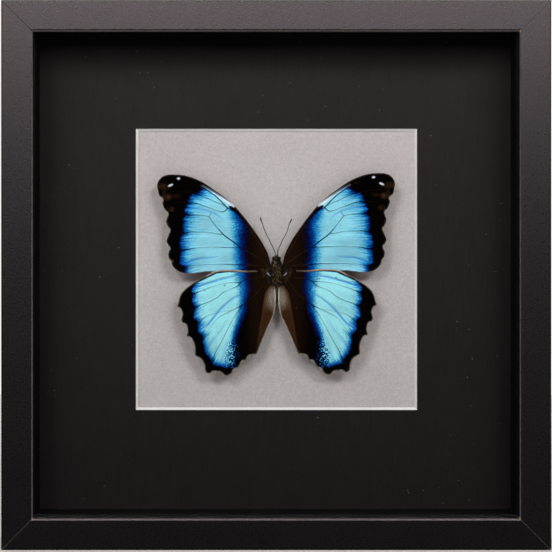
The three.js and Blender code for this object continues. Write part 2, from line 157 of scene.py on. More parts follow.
# Veins: X, Z and how dark the vein shows there
FOREWING_VEINS = [
    [(5, 2, 0.5), (10.5, 5.9, 0.5), (16, 9.1, 0.7), (18, 10.6, 0.9), (20.5, 12.5, 1.0),
     (24.5, 15.5, 1.0), (28, 19.5, 0.5), (31.4, 24.0, 0.5)],
    [(4.2, 4.5, 0.3), (10, 14.2, 0.4), (17.5, 24.4, 0.3), (22.6, 28.0, 0.9)],
    [(22.6, 28.0, 0.9), (28, 33.4, 0.9), (31, 35.5, 0.9), (34.8, 37.8, 0.8), (44, 41.2, 0.1)],
    [(22.6, 28.0, 0.9), (25, 29.5, 0.4), (28, 30.8, 0.35), (34, 33.4, 0.6), (40, 35.2, 0.9),
     (50, 36.0, 0.1)],
    [(22.6, 28.0, 0.9), (24.4, 26.3, 0.7), (27, 26.6, 0.4), (30, 27.7, 0.35), (36.5, 30.0, 0.7),
     (41.5, 30.6, 1.0), (51, 30.6, 0.1)],
    [(31.4, 24.0, 0.4), (34, 24.6, 0.3), (37, 24.8, 0.6), (40, 24.7, 0.9), (43, 24.6, 1.0),
     (50, 23.0, 0.1)],
    [(24.8, 15.6, 0.6), (28, 16.1, 0.35), (32, 16.8, 0.3), (36, 16.9, 0.4), (40, 16.9, 0.7),
     (44, 16.2, 1.0), (49.4, 15.4, 0.1)],
    [(16.8, 9.3, 0.6), (20, 9.5, 0.6), (25, 9.8, 0.45), (30, 9.9, 0.2), (36, 9.6, 0.25),
     (40, 9.1, 0.8), (44.5, 8.1, 1.0), (49.2, 7.4, 0.1)],
    [(5, 0.8, 0.3), (12, 1.2, 0.5), (16, 1.35, 0.9), (20, 1.7, 0.7), (25, 1.9, 0.5),
     (30, 1.9, 0.3), (38, 1.4, 0.25), (43, 0.6, 0.6), (47.6, 0.6, 0.1)],
    [(30.3, 25.9, 0.35), (31.4, 24.0, 0.45)],
]
HINDWING_VEINS = [
    [(5, -4.3, 0.1), (13.5, -5.2, 0.8), (16.7, -6.5, 0.8), (20, -6.6, 0.4), (24, -7.0, 0.25),
     (28, -7.9, 0.15), (36, -10.6, 0.5), (38.5, -12.0, 0.9), (44.6, -15.6, 0.1)],
    [(16.7, -6.5, 0.9), (18.2, -8.3, 0.7), (22, -9.8, 0.25), (25, -11.2, 0.4),
     (27.5, -13.3, 0.45), (31, -15.2, 0.45), (36.5, -17.3, 0.7), (39, -19.0, 1.0),
     (43.6, -22.4, 0.1)],
    [(4.6, -5.2, 0.4), (10, -12.4, 0.5), (13.8, -15.4, 0.8), (16, -17.2, 1.0),
     (20, -19.2, 0.5), (24, -21.1, 0.35), (28, -23.5, 0.25), (31.5, -28.0, 0.2),
     (35, -33.0, 0.6), (37.6, -33.4, 0.1)],
    [(20, -19.2, 0.2), (28, -20.8, 0.1), (32.5, -22.0, 0.3), (37.5, -26.2, 0.8),
     (41.4, -28.8, 0.1)],
    [(16, -17.2, 0.8), (19.5, -22.0, 0.4), (21.5, -25.5, 0.35), (26, -34.0, 0.4),
     (28.5, -38.5, 0.45), (30.5, -43.5, 0.7), (32.8, -47.4, 0.1)],
    [(4.2, -7, 0.1), (9, -16, 0.15), (13, -26, 0.15), (17, -36, 0.1), (21, -46.4, 0.1)],
]

# Folds between the veins, where the scales show a deeper blue: X, Z and strength
FOREWING_FOLDS = [
    [(25, 22.5, 0.2), (28, 24.8, 0.45), (31, 26.3, 0.55), (34, 27.0, 0.6), (38, 27.7, 0.7),
     (43, 27.3, 1.0)],
    [(28, 5.0, 0.2), (32, 4.6, 0.5), (36, 4.4, 0.6), (39, 3.6, 0.9), (42, 2.4, 1.0),
     (44.5, 1.7, 1.0)],
    [(38, 20.6, 0.1), (44, 20.2, 0.6)],
    [(37.5, 12.6, 0.1), (41, 12.2, 0.5), (45.2, 11.4, 0.9)],
]
HINDWING_FOLDS = [
    [(16, -2.8, 0.5), (20, -3.9, 0.6), (25, -5.0, 0.8), (30, -6.4, 0.9), (34, -7.6, 1.0),
     (40, -9.7, 1.0)],
    [(34.5, -13.4, 0.2), (39.5, -15.3, 0.8)],
    [(15.5, -11.5, 0.5), (20, -14.0, 0.6), (24, -17.0, 0.75), (27.5, -20.5, 0.85),
     (31, -24.8, 0.9), (33, -27.0, 0.8), (36.5, -29.0, 0.7)],
    [(34.5, -18.6, 0.2), (38.8, -22.6, 0.8)],
    [(23, -24.5, 0.1), (28, -31, 0.3), (32, -36.5, 0.6), (34, -39.5, 0.8)],
    [(20, -26, 0.1), (23.5, -35, 0.25), (26.4, -44.6, 0.5)],
]

# How the blue pales with the distance from the field's outer border, in millimetres
BORDER_GAPS = [-6.0, -0.6, 0.0, 0.6, 1.0, 2.0, 3.0, 5.0, 8.0, 11.0]
BORDER_SHARES = [-1.2, -0.1, 0.1, 0.25, 0.36, 0.53, 0.7, 0.86, 1.0, 1.1]

# Golden brown line along the outside of the hindwing's inner fold: X, Z and strength
HINDWING_FOLD_LINE = [
    (3.2, -8.9, 0.5), (5.2, -12.0, 0.7), (6.3, -19.1, 0.9), (7.6, -26.5, 0.9), (8.4, -31.3, 0.6),
    (9.8, -38.0, 0.1),
]

# Spots: X, Z, half lengths, turn in degrees and strength
FOREWING_WHITES = [
    (45.4, 41.8, 0.7, 0.5, 10, 0.95), (49.2, 38.7, 1.2, 0.48, -25, 0.95),
]
FOREWING_TANS = [
    (50.2, 33.3, 0.6, 0.5, 0, 0.55), (50.4, 33.2, 2.0, 1.6, 0, 0.2), (52.2, 34.6, 0.8, 2.0, 0, 0.16),
    (53.0, 38.3, 2.2, 1.4, 0, 0.2), (51.0, 37.4, 2.4, 1.0, -20, 0.12), (48.7, 27.4, 0.6, 0.6, 0, 0.22),
    (49.0, 27.6, 1.8, 1.4, 0, 0.1), (50.4, 21.1, 0.6, 0.6, 0, 0.12), (46.4, 33.6, 1.6, 1.0, 0, 0.1),
]
SIDE_TANS = {"left": [(48.4, 3.4, 0.5, 0.5, 0, 0.8)], "right": [(37.3, 39.4, 0.9, 0.3, 20, 0.2)]}
SIDE_DOTS = {
    ("forewing", "left"): [(39.7, 21.2, 0.4)],
    ("forewing", "right"): [(29.9, 19.6, 0.25)],
    ("hindwing", "left"): [(24.4, -8.0, 0.45), (33.6, -10.4, 0.25)],
    ("hindwing", "right"): [(27.6, -4.8, 0.4), (19.8, -5.2, 0.3)],
}
# Margin notches where the pale fringe of scales shows
FOREWING_NOTCHES = [(52.9, 32.3), (50.6, 25.6), (49.7, 17.7), (49.8, 9.4), (49.3, 3.2)]
HINDWING_NOTCHES = [
    (45.2, -18.6), (42.5, -26.2), (40.4, -32.3), (36.6, -41.2), (29.8, -48.0), (26.4, -48.5),
    (20.2, -47.1), (16.4, -43.4), (13.3, -40.9), (10.9, -40.4),
]
# Eye spots of the brown underside: X, Z and radius
FOREWING_EYES = [(39.5, 6.0, 2.4), (40.0, 21.0, 3.6), (39.5, 29.5, 2.6)]
HINDWING_EYES = [(33.0, -10.5, 4.2), (28.5, -28.0, 3.6), (24.5, -33.5, 3.2), (19.5, -38.0, 2.4)]

# Rails: the gaps to the mitre of the close sections at each end, and the sections between them
MITRE_ROWS = [0, 0.1, 0.25, 0.5, 1.0, 2.0, 4.0]
RAIL_MIDDLE_ROWS = 28
SHARP_ANGLE = math.radians(32)
WEAR_REACH = 0.3
CHIP_INSET = 0.4
CHIP_REACH = 1.1
# Wear of the foil along each rail's two mitres, at its low and high end as it is turned
RAIL_WEAR = {
    "bottom": (0.85, 0.8),
    "left": (0.05, 0.7),
    "top": (0.55, 0.05),
    "right": (0.75, 0.5),
}
# Painted highlight along each rail's inner front edge: how pale it is painted, and until which depth
PAINTED_HIGHLIGHT_FROM = 0.08
PAINTED_HIGHLIGHT = {"bottom": (1.0, 0.5), "left": (0.9, 0.5), "top": (1.0, 0.9), "right": (0.7, 0.5)}
# How far the foil is chipped at each rail's two inner corners
CHIPS = {"bottom": (0.5, 0.55), "left": (0.3, 0.45), "top": (0.4, 0.3), "right": (0.5, 0.5)}

# Wing meshes: spacing and scatter of the points, and how near they come to the rim and the veins
POINT_SPACING = 0.36
ROW_SHARE = 0.866
SCATTER = 0.06
RIM_CLEARANCE = 0.6 * POINT_SPACING
VEIN_CLEARANCE = 0.3
VEIN_END_CLEARANCE = 0.25
BESIDE_VEIN = 0.18
# Raggedness of the rim: its size and depth, and the radius at which it has that depth
RAGGED_SIZE = 0.7
RAGGED_DEPTH = 0.12
RAGGED_RADIUS = 30
# Markings: the blue's rise to the deep and to the pale part of the ramp, and how far lines fade
DEEP_SHARE = 0.3
PALE_RISE = 0.58
LEAD_SOFTNESS = 0.35
FOLD_WIDTH = 0.5
NOTCH_AREA = 0.9
FRINGE_WIDTH = 0.45
# Relief of the wings: long waves, the membrane between the veins, folds, veins and the curled fold
WAVE_HEIGHT = 0.45
WAVE_LENGTH = 13.0
BULGE = 0.04
BULGE_WIDTH = 2.2
VALLEY = 0.08
RIDGE = 0.06
RIDGE_WIDTH = 0.2
CURL_HEIGHT = 0.75
CURL_WIDTH = 3.4
# The hindwing's inner edge: its Z, and its X there; the curl follows it a little more simply
INNER_EDGE = ([-40.4, -29.9, -22.2, -17.0, -9.0, -7.6], [9.9, 5.2, 1.7, 0.6, 0.9, 2.6])
CURL_EDGE = ([-40.4, -22.2, -17.0, -9.0, -7.6], [9.9, 1.7, 0.6, 0.9, 2.6])
# Outer limit of the grey silk on the inner fold: Z and X
SILK_EDGE = ([-20, -18, -16, -14, -12, -9], [6.3, 6.4, 6.2, 5.8, 5.2, 4.0])
# White streak along the forewing's leading edge: X, Z and strength
WHITE_STREAK = [(19.8, 29.0, 1.0), (22.5, 30.6, 0.95), (26, 33.1, 0.5), (30, 35.8, 0.22), (34.4, 38.2, 0.12)]

# Body
HEAD_CENTRE = (-0.1, 0.2, 4.2)
HEAD_RADII = (1.2, 1.2, 1.05)
EYE_RADIUS = 0.92
EYE_OFFSET = 1.3
THORAX_CENTRE = (0, 0.4, -2.6)
THORAX_RADII = (2.5, 3.0, 5.2)
COLLAR_CENTRE = (-0.1, 0.2, 2.1)
COLLAR_RADII = (2.15, 1.9, 1.7)
ABDOMEN_CENTRE = (0, 2.6, -12.2)
ABDOMEN_RADII = (1.6, 1.65, 4.4)
ABDOMEN_RING_PITCH = 1.2
ABDOMEN_RING_DEPTH = 0.04
# Hair: how many, how thick, and the size of its light and dark patches
HAIRS = {"thorax": 4200, "collar": 1700, "head": 1400, "abdomen": 900, "wing_root": 900, "streak": 34}
HAIR_RADII = {"thorax": 0.06, "collar": 0.055, "head": 0.05, "abdomen": 0.03, "wing_root": 0.045,
              "tuft": 0.055, "streak": 0.06}
MOTTLE_SIZE = 0.65
# Pale streak beside each wing root, from its inner to its outer end: X, Y and Z
STREAK_INNER = (2.75, -1.9, -4.15)
STREAK_OUTER = (4.95, -1.35, -2.05)
# Light tufts around each streak: both ends in X, Y and Z, and the number of hairs
TUFTS = [
    ((4.9, -1.0, -4.6), (6.3, -1.0, -0.9), 110),
    ((2.2, -1.9, -5.2), (4.4, -1.3, -5.0), 40),
    ((2.8, -1.8, -0.4), (4.8, -1.3, -1.6), 40),
]

# Antennae and legs
ANTENNA_RADIUS = 0.17
CLUB_RADIUS = 0.32
CLUB_LENGTH = 2.6
CLUB_TIP = 0.9
RING_PITCH = 0.42
RING_DEPTH = 0.08
ANTENNAE = {
    "left": [(-0.6, -0.4, 5.1), (-0.6, -0.5, 5.9), (-1.0, -0.7, 7.8), (-3.0, -1.6, 12.0),
             (-5.3, -2.4, 16.6), (-6.6, -2.8, 20.4), (-7.7, -3.0, 23.4)],
    "right": [(0.3, -0.4, 5.1), (0.3, -0.5, 5.9), (0.6, -0.7, 7.8), (2.3, -1.6, 12.0),
              (4.6, -2.4, 16.3), (5.7, -2.8, 19.8), (7.0, -3.0, 22.7)],
}
LEG_RADIUS = 0.22
LEG_TAPER = 0.6
LEGS = {
    "middle": [(2.4, 2.9, -1.6), (3.6, 3.8, 1.2), (3.9, 4.8, -2.0), (3.2, 5.8, -5.4)],
    "hind": [(2.4, 2.9, -4.4), (4.6, 3.9, -6.2), (4.9, 4.9, -10.0), (4.2, 5.9, -13.6)],
}

# Light panels: azimuth from the front and elevation in degrees, distance and size in metres, watts
PANELS = {
    "bank_mirrored": (0, 19.0, 1.3, (0.95, 0.36), 7.6),
    "key_left": (-30, 29.0, 1.6, (0.8, 0.3), 13.8),
    "key_right": (30, 29.0, 1.6, (0.8, 0.3), 13.4),
    "side_left": (-58, 6.0, 1.4, (1.0, 0.6), 12.1),
    "side_right": (58, 6.0, 1.4, (1.0, 0.6), 11.8),
    "back_left": (-140, 35.0, 1.5, (0.9, 0.9), 6),
    "back_middle": (180, 18.0, 1.5, (1.4, 0.8), 7),
    "back_right": (140, 35.0, 1.5, (0.9, 0.9), 6),
}
# Colour of the backdrop as it is seen, and the dim light that it gives
BACKDROP = (226, 225, 222)
AMBIENT = (0.015, 0.0145, 0.015, 1)
FLOOR_RADIUS = 0.9
FLOOR_CORNERS = 96


def srgb(red, green, blue):
    """A colour given as 0 to 255 on a screen, as linear light with alpha."""
    channels = []
    for value in (red, green, blue):
        share = value / 255
        channels.append(share / 12.92 if share <= 0.04045 else ((share + 0.055) / 1.055) ** 2.4)
    return (*channels, 1)


class Graph:
    """A material's nodes, made by short calls."""

    def __init__(self, name):
        self.material = bpy.data.materials.new(name)
        self.material.use_nodes = True
        self.tree = self.material.node_tree
        self.tree.nodes.clear()
        self.output = self.tree.nodes.new("ShaderNodeOutputMaterial")
        self.place = self.node("ShaderNodeTexCoord").outputs["Object"]

    def node(self, kind, inputs=None, **settings):
        made = self.tree.nodes.new(kind)
        for setting, value in settings.items():
            setattr(made, setting, value)
        for socket, value in (inputs or {}).items():
            self.put(made.inputs[socket], value)
        return made

    def put(self, socket, value):
        if isinstance(value, bpy.types.NodeSocket):
            self.tree.links.new(value, socket)
        else:
            socket.default_value = value

    def math(self, operation, first, second=0.0, clamp=False):
        made = self.node("ShaderNodeMath", {0: first, 1: second}, operation=operation, use_clamp=clamp)
        return made.outputs[0]

    def times(self, first, second, clamp=False):
        return self.math("MULTIPLY", first, second, clamp)

    def plus(self, first, second, clamp=False):
        return self.math("ADD", first, second, clamp)

    def mix(self, share, first, second, blend="MIX"):
        made = self.node("ShaderNodeMix", {0: share, 6: first, 7: second}, data_type="RGBA")
        made.blend_type = blend
        return made.outputs[2]

    def noise(self, size_mm, detail=2.0, roughness=0.5, place=None):
        """Noise whose features are about size_mm across; place defaults to the row frame."""
        inputs = {"Vector": place or self.place, "Scale": 1 / (size_mm * MM) if place is None else 1.0}
        inputs.update({"Detail": detail, "Roughness": roughness})
        return self.node("ShaderNodeTexNoise", inputs).outputs["Fac"]

    def stretched(self, size_x, size_y, size_z, detail=2.0):
        """Noise stretched along the axes, with its size along each in millimetres."""
        scale = (1 / (size_x * MM), 1 / (size_y * MM), 1 / (size_z * MM))
        place = self.node("ShaderNodeMapping", {"Vector": self.place, "Scale": scale}).outputs[0]
        return self.noise(0, detail, place=place)

    def specks(self, spacing_mm, size_share):
        """1 in small round specks, one to a cell of about spacing_mm."""
        cells = self.node(
            "ShaderNodeTexVoronoi",
            {"Vector": self.place, "Scale": 1 / (spacing_mm * MM), "Randomness": 1.0},
        )
        return self.step(cells.outputs["Distance"], size_share, size_share * 0.6)

    def step(self, value, low, high):
        """0 at low and 1 at high, smooth between them; low may be the larger."""
        inputs = {"Value": value, "From Min": low, "From Max": high}
        made = self.node("ShaderNodeMapRange", inputs, interpolation_type="SMOOTHSTEP")
        return made.outputs["Result"]

    def spread(self, value, low, high):
        """A noise value of about 0.3 to 0.7 spread to run from low to high."""
        inputs = {"Value": value, "From Min": 0.3, "From Max": 0.7, "To Min": low, "To Max": high}
        return self.node("ShaderNodeMapRange", inputs).outputs["Result"]

    def ramp(self, value, stops):
        made = self.node("ShaderNodeValToRGB", {0: value})
        elements = made.color_ramp.elements
        for number, (position, colour) in enumerate(stops):
            element = elements[number] if number < 2 else elements.new(position)
            element.position = position
            element.color = colour
        return made.outputs["Color"]

    def shade(self, colour, value, low, high):
        """The colour times a noise value spread from low to high."""
        tone = self.spread(value, low, high)
        grey = self.node("ShaderNodeCombineColor", {0: tone, 1: tone, 2: tone}).outputs[0]
        return self.mix(1.0, colour, grey, "MULTIPLY")

    def attribute(self, name):
        return self.node("ShaderNodeAttribute", attribute_name=name).outputs["Fac"]

    def bump(self, height, depth_mm, strength=1.0):
        inputs = {"Height": height, "Distance": depth_mm * MM, "Strength": strength}
        return self.node("ShaderNodeBump", inputs).outputs["Normal"]

    def surface(self, **inputs):
        named = {name.replace("_", " "): value for name, value in inputs.items()}
        shader = self.node("ShaderNodeBsdfPrincipled", named)
        self.tree.links.new(shader.outputs[0], self.output.inputs["Surface"])
        return self.material


def foil_material(name, specular, grain_depth):
    """Satin black foil with a fine pebble grain, worn pale at some mitres, chipped at corners, with a
    painted highlight on the inner edge.
    """
    g = Graph(name)
    pebble = g.noise(0.75, 2, 0.6)
    cloud = g.noise(18, 2)
    base = g.shade(srgb(11, 10, 10), cloud, 0.85, 1.15)
    wear_and_highlight_breakup = g.step(g.noise(0.5, 2), 0.42, 0.62)
    wear = g.times(g.attribute("wear"), wear_and_highlight_breakup)
    chip = g.step(g.plus(g.attribute("chip"), g.spread(g.noise(0.7, 2), -0.35, 0.35)), 0.5, 0.6)
    # Painted highlight: the inner front edge is painted pale, standing in for the light its rounding catches
    painted_highlight = g.times(g.attribute("painted_highlight"), g.spread(wear_and_highlight_breakup, 0.4, 0.7))
    base = g.mix(painted_highlight, base, srgb(98, 90, 91))
    base = g.mix(wear, base, srgb(128, 122, 116))
    base = g.mix(chip, base, srgb(150, 122, 88))
    rough = g.plus(g.spread(pebble, 0.24, 0.36), g.times(chip, 0.4))
    rough = g.plus(rough, g.times(g.attribute("outer"), 0.55), clamp=True)
    normal = g.bump(pebble, grain_depth, 0.7)
    return g.surface(Base_Color=base, Roughness=rough, Normal=normal, Specular_IOR_Level=specular,
                     Specular_Tint=(1.0, 0.86, 0.9, 1))


def dull_material(name, colour, shades, grain, grain_depth, strength, roughness, specular=0.5):
    """A dull surface: a colour shaded by noises, each with its low and high, over a bumpy grain."""
    g = Graph(name)
    base = colour
    for noise_settings, low, high in shades:
        base = g.shade(base, g.noise(*noise_settings), low, high)
    bump = g.noise(*grain)
    if isinstance(roughness, tuple):
        roughness = g.spread(bump, *roughness)
    return g.surface(Base_Color=base, Roughness=roughness, Normal=g.bump(bump, grain_depth, strength),
                     Specular_IOR_Level=specular)


def fibreboard_material():
    """Raw pressed wood fibre inside the rebate and on the back edge of the rails."""
    g = Graph("raw_fibreboard")
    fibre = g.noise(0.35, 4, 0.7)
    base = g.mix(g.spread(fibre, 0, 1), srgb(150, 118, 84), srgb(181, 149, 112))
    base = g.shade(base, g.noise(9, 2), 0.9, 1.08)
    return g.surface(Base_Color=base, Roughness=0.9, Normal=g.bump(fibre, 0.08, 0.6))


def glass_material():
    """A clear flat pane: it passes light straight through and mirrors a little of it."""
    g = Graph("clear_pane")
    haze = g.spread(g.noise(30, 3), 0.0, 0.1)
    tint = g.mix(haze, srgb(254, 254, 254), srgb(250, 251, 251))
    clear = g.node("ShaderNodeBsdfTransparent", {"Color": tint}).outputs[0]
    gloss = g.node("ShaderNodeBsdfGlossy", {"Color": (1, 1, 1, 1), "Roughness": 0.02}).outputs[0]
    mirror = g.node("ShaderNodeFresnel", {"IOR": 1.45}).outputs[0]
    mixed = g.node("ShaderNodeMixShader", {0: mirror, 1: clear, 2: gloss}).outputs[0]
    g.tree.links.new(mixed, g.output.inputs["Surface"])
    return g.material


def spacer_material():
    """Matt black card of the inner walls."""
    return dull_material("inner_wall_card", srgb(14, 12, 12), [((12, 2), 0.85, 1.15)],
                         (0.6, 3, 0.6), 0.03, 0.5, (0.55, 0.7), 0.2)


def mount_material():
    """Black-faced mount board: fine paper with stray dust on its face, white core on its cuts."""
    g = Graph("mount_paper")
    normal = g.node("ShaderNodeNewGeometry").outputs["True Normal"]
    facing = g.node("ShaderNodeSeparateXYZ", {0: normal}).outputs["Y"]
    is_cut = g.step(g.math("ABSOLUTE", facing), 0.92, 0.86)
    fibre = g.noise(0.65, 3, 0.8)
    face = g.shade(srgb(15, 13, 12.5), fibre, 0.0, 2.0)
    face = g.shade(face, g.stretched(1.0, 1.0, 10, 2), 0.55, 1.45)
    face = g.shade(face, g.noise(22, 2), 0.88, 1.12)
    dust = g.times(g.specks(4.6, 0.07), g.step(g.noise(26, 1), 0.47, 0.56))
    face = g.mix(dust, face, srgb(122, 116, 110))
    core = g.shade(srgb(252, 250, 248), g.noise(0.4, 3), 0.94, 1.0)
    base = g.mix(is_cut, face, core)
    normal = g.bump(fibre, 0.25, 0.8)
    rough = g.spread(fibre, 0.34, 0.58)
    return g.surface(Base_Color=base, Roughness=rough, Normal=normal, Specular_IOR_Level=0.28,
                     Specular_Tint=(1.0, 0.86, 0.87, 1))


def card_material():
    """Pale grey card with a soft mottle."""
    fibre = (0.6, 3, 0.6)
    shades = [((1.5, 3, 0.75), 0.94, 1.06), (fibre, 0.89, 1.11), ((35, 2), 0.98, 1.02)]
    return dull_material("grey_card_paper", srgb(201, 194, 193), shades, fibre, 0.02, 0.4, 0.92)


def hardboard_material():
    """Brown hardboard: dark flecks of fibre in a warm brown sheet, with a fine grain and broad blotches."""
    g = Graph("hardboard_sheet")
    fleck = g.stretched(2.2, 2.2, 0.5, 4)
    fine = g.noise(0.4, 3, 0.7)
    base = g.mix(g.spread(fleck, 0, 1), srgb(92, 62, 38), srgb(138, 100, 66))
    base = g.shade(base, fine, 0.85, 1.12)
    base = g.shade(base, g.noise(45, 2), 0.92, 1.06)
    return g.surface(Base_Color=base, Roughness=0.78, Normal=g.bump(fine, 0.06, 0.7))


def steel_material():
    """Zinc-plated sheet steel, faintly brushed."""
    g = Graph("plated_steel")
    brushed = g.stretched(6, 6, 0.12, 2)
    base = g.shade(srgb(184, 185, 182), g.noise(1.6, 3), 0.82, 1.05)
    rough = g.spread(brushed, 0.3, 0.46)
    return g.surface(Base_Color=base, Metallic=0.6, Roughness=rough, Normal=g.bump(brushed, 0.01, 0.5))


def foam_material():
    """Off-white foam block."""
    cell = (0.45, 3, 0.7)
    return dull_material("foam_block", srgb(216, 211, 198), [(cell, 0.8, 1.1)], cell, 0.15, 1.0, 0.95)


def wing_top_material():
    """Upper side of the wings: dark root, iridescent blue field, black margin and white spots."""
    g = Graph("wing_scales")
    across = g.times(g.attribute("across"), 1.5)
    along = g.times(g.attribute("reach"), 0.14)
    ray_place = g.node("ShaderNodeCombineXYZ", {0: along, 1: across, 2: 0.0}).outputs[0]
    rays = g.noise(0, 3, 0.6, ray_place)
    scales = g.noise(0.34, 2, 0.7)
    clumps = g.noise(0.9, 3, 0.7)

    grains = g.noise(0.5, 1, 0.5)
    loose = g.plus(g.times(g.attribute("speckle"), 0.6), 0.1)
    scatter = g.times(g.spread(grains, -1, 1), loose)
    inner = g.plus(g.attribute("inner"), scatter)
    inner = g.plus(inner, g.spread(rays, -0.06, 0.06))
    edge = g.plus(g.attribute("edge"), g.spread(rays, -0.22, 0.14))
    edge = g.plus(edge, g.spread(grains, -0.07, 0.07))
    field = g.math("MINIMUM", inner, edge, clamp=True)

    dark = g.mix(g.attribute("root"), srgb(6, 3, 2), srgb(18, 9, 6))
    dark = g.shade(dark, clumps, 0.7, 1.35)
    blue = g.ramp(field, [
        (0.0, srgb(20, 6, 20)), (1.0, srgb(142, 203, 218)), (0.08, srgb(22, 7, 54)),
        (0.18, srgb(3, 24, 82)), (0.3, srgb(3, 54, 122)), (0.42, srgb(10, 94, 160)),
        (0.52, srgb(32, 124, 182)), (0.62, srgb(62, 152, 198)), (0.72, srgb(94, 176, 210)),
        (0.84, srgb(122, 194, 217)),
    ])
    pale_share = g.times(g.attribute("hind"), g.step(field, 0.6, 1.0))
    blue = g.mix(pale_share, blue, srgb(164, 230, 236))
    blue = g.shade(blue, g.noise(6, 2), 0.94, 1.05)
    blue = g.shade(blue, rays, 0.95, 1.04)
    blue = g.shade(blue, scales, 0.9, 1.09)
    colour = g.mix(g.step(field, 0.0, 0.12), dark, blue)

    fold_share = g.times(g.attribute("fold"), g.step(field, 0.15, 0.4))
    colour = g.mix(g.times(fold_share, 0.85), colour, srgb(40, 124, 212))
    white = g.times(g.attribute("white"), g.spread(scales, 0.85, 1.0), clamp=True)
    colour = g.mix(white, colour, srgb(226, 230, 240))

    tone = g.math("POWER", g.attribute("vein_tone"), 0.7)
    line = g.times(g.step(g.attribute("vein_gap"), 0.34, 0.12), tone)
    root_vein = g.mix(g.attribute("root"), srgb(26, 17, 13), srgb(60, 43, 34))
    root_vein = g.shade(root_vein, clumps, 0.3, 1.6)
    vein_colour = g.mix(g.step(field, 0.0, 0.25), root_vein, srgb(3, 15, 52))
    colour = g.mix(line, colour, vein_colour)

    ochre = g.times(g.attribute("tan"), g.spread(scales, 0.3, 1.0), clamp=True)
    colour = g.mix(ochre, colour, srgb(138, 100, 72))
    umber = g.times(g.attribute("umber"), g.spread(clumps, 0.6, 1.0))
    colour = g.mix(umber, colour, srgb(112, 78, 48))
    silk = g.mix(g.spread(scales, 0, 1), srgb(82, 73, 64), srgb(172, 163, 152))
    colour = g.mix(g.attribute("grey"), colour, silk)
    lint = g.times(g.specks(3.2, 0.05), g.step(g.noise(7, 1), 0.45, 0.6))
    colour = g.mix(g.times(lint, g.attribute("root")), colour, srgb(150, 142, 136))
    cream = g.times(g.attribute("cream"), g.spread(clumps, 0.55, 1.0), clamp=True)
    colour = g.mix(cream, colour, srgb(218, 202, 186))

    shine = g.times(field, 0.35)
    rough = g.math("SUBTRACT", 0.62, g.times(field, 0.2))
    normal = g.bump(g.plus(scales, g.times(rays, 0.25)), 0.03, 0.6)
    return g.surface(Base_Color=colour, Metallic=shine, Roughness=rough, Normal=normal,
                     Specular_IOR_Level=0.0)


def wing_under_material():
    """Underside of the wings: brown with pale bands and ringed eye spots."""
    g = Graph("wing_underside")
    scales = g.noise(0.34, 2, 0.7)
    base = g.mix(g.spread(g.noise(5, 3), 0, 1), srgb(78, 56, 38), srgb(112, 86, 60))
    band = g.step(g.math("ABSOLUTE", g.math("SUBTRACT", g.attribute("edge"), -0.8)), 0.5, 0.2)
    base = g.mix(g.times(band, 0.6), base, srgb(172, 150, 118))
    rings = g.ramp(g.attribute("eye"), [
        (0.0, srgb(236, 232, 220)), (1.0, srgb(84, 60, 42)), (0.14, srgb(24, 16, 12)),
        (0.5, srgb(20, 14, 12)), (0.58, srgb(186, 148, 70)), (0.74, srgb(176, 138, 66)),
        (0.82, srgb(40, 26, 18)),
    ])
    base = g.mix(g.step(g.attribute("eye"), 0.98, 0.9), base, rings)
    line = g.times(g.step(g.attribute("vein_gap"), 0.3, 0.08), 0.6)
    base = g.mix(line, base, srgb(44, 30, 20))
    return g.surface(Base_Color=g.shade(base, scales, 0.85, 1.1), Roughness=0.7)


def body_material():
    """Dark brown skin under the hair."""
    g = Graph("body_skin")
    grain = g.noise(0.3, 3, 0.7)
    base = g.mix(g.step(g.noise(0.8, 2), 0.48, 0.6), srgb(10, 7, 6), srgb(98, 76, 46))
    base = g.mix(g.step(g.noise(0.6, 1), 0.58, 0.66), base, srgb(168, 160, 150))
    return g.surface(Base_Color=base, Roughness=0.75, Normal=g.bump(grain, 0.08, 0.8),
                     Specular_IOR_Level=0.15)


def eye_material():
    """Smooth dark compound eyes with a faint net of facets."""
    g = Graph("eye_facets")
    cells = g.node("ShaderNodeTexVoronoi", {"Vector": g.place, "Scale": 1 / (0.07 * MM)}).outputs["Distance"]
    base = g.mix(g.spread(g.noise(0.5, 2), 0, 1), srgb(18, 12, 9), srgb(46, 30, 18))
    return g.surface(Base_Color=base, Roughness=0.22, Normal=g.bump(cells, 0.01, 0.4))


def limb_material():
    """Dark horny skin of the antennae and legs."""
    g = Graph("horn_skin")
    base = g.shade(srgb(42, 34, 30), g.noise(0.6, 3), 0.6, 1.4)
    return g.surface(Base_Color=base, Roughness=0.5, Normal=g.bump(g.noise(0.12, 2), 0.02, 0.6))


def hair_material(name, root, tip, spread=0.5):
    """Hair that runs from a root colour to a tip colour, each strand a little lighter or darker."""
    g = Graph(name)
    base = g.mix(g.step(g.attribute("along"), 0.1, 1.0), root, tip)
    tone = g.plus(g.times(g.attribute("tone"), 2 * spread), 1 - spread)
    grey = g.node("ShaderNodeCombineColor", {0: tone, 1: tone, 2: tone}).outputs[0]
    base = g.mix(1.0, base, grey, "MULTIPLY")
    base = g.shade(base, g.noise(0.3, 2), 0.9, 1.1)
    return g.surface(Base_Color=base, Roughness=0.55, Specular_IOR_Level=0.15)


# Meshes and pieces

def add_piece(name, points, faces, materials, replaced=(), attributes=None):
    """A mesh in the row frame that rides on the body and stands for the CAD nodes it replaces."""
    mesh = bpy.data.meshes.new(name)
    mesh.from_pydata(points, [], faces)
    for material in materials:
        mesh.materials.append(material)
    for label, values in (attributes or {}).items():
        layer = mesh.attributes.new(label, "FLOAT", "POINT")
        layer.data.foreach_set("value", np.asarray(values, np.float32))
    mesh.polygons.foreach_set("use_smooth", np.ones(len(mesh.polygons), bool))
    mesh.update()
    piece = bpy.data.objects.new(name, mesh)
    bpy.context.scene.collection.objects.link(piece)
    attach(piece, "root")
    if replaced:
        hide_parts(*replaced)
    return piece


def face_outwards(mesh):
    """Turns the faces of closed shapes to point out."""
    work = bmesh.new()
    work.from_mesh(mesh)
    bmesh.ops.recalc_face_normals(work, faces=work.faces)
    work.to_mesh(mesh)
    work.free()


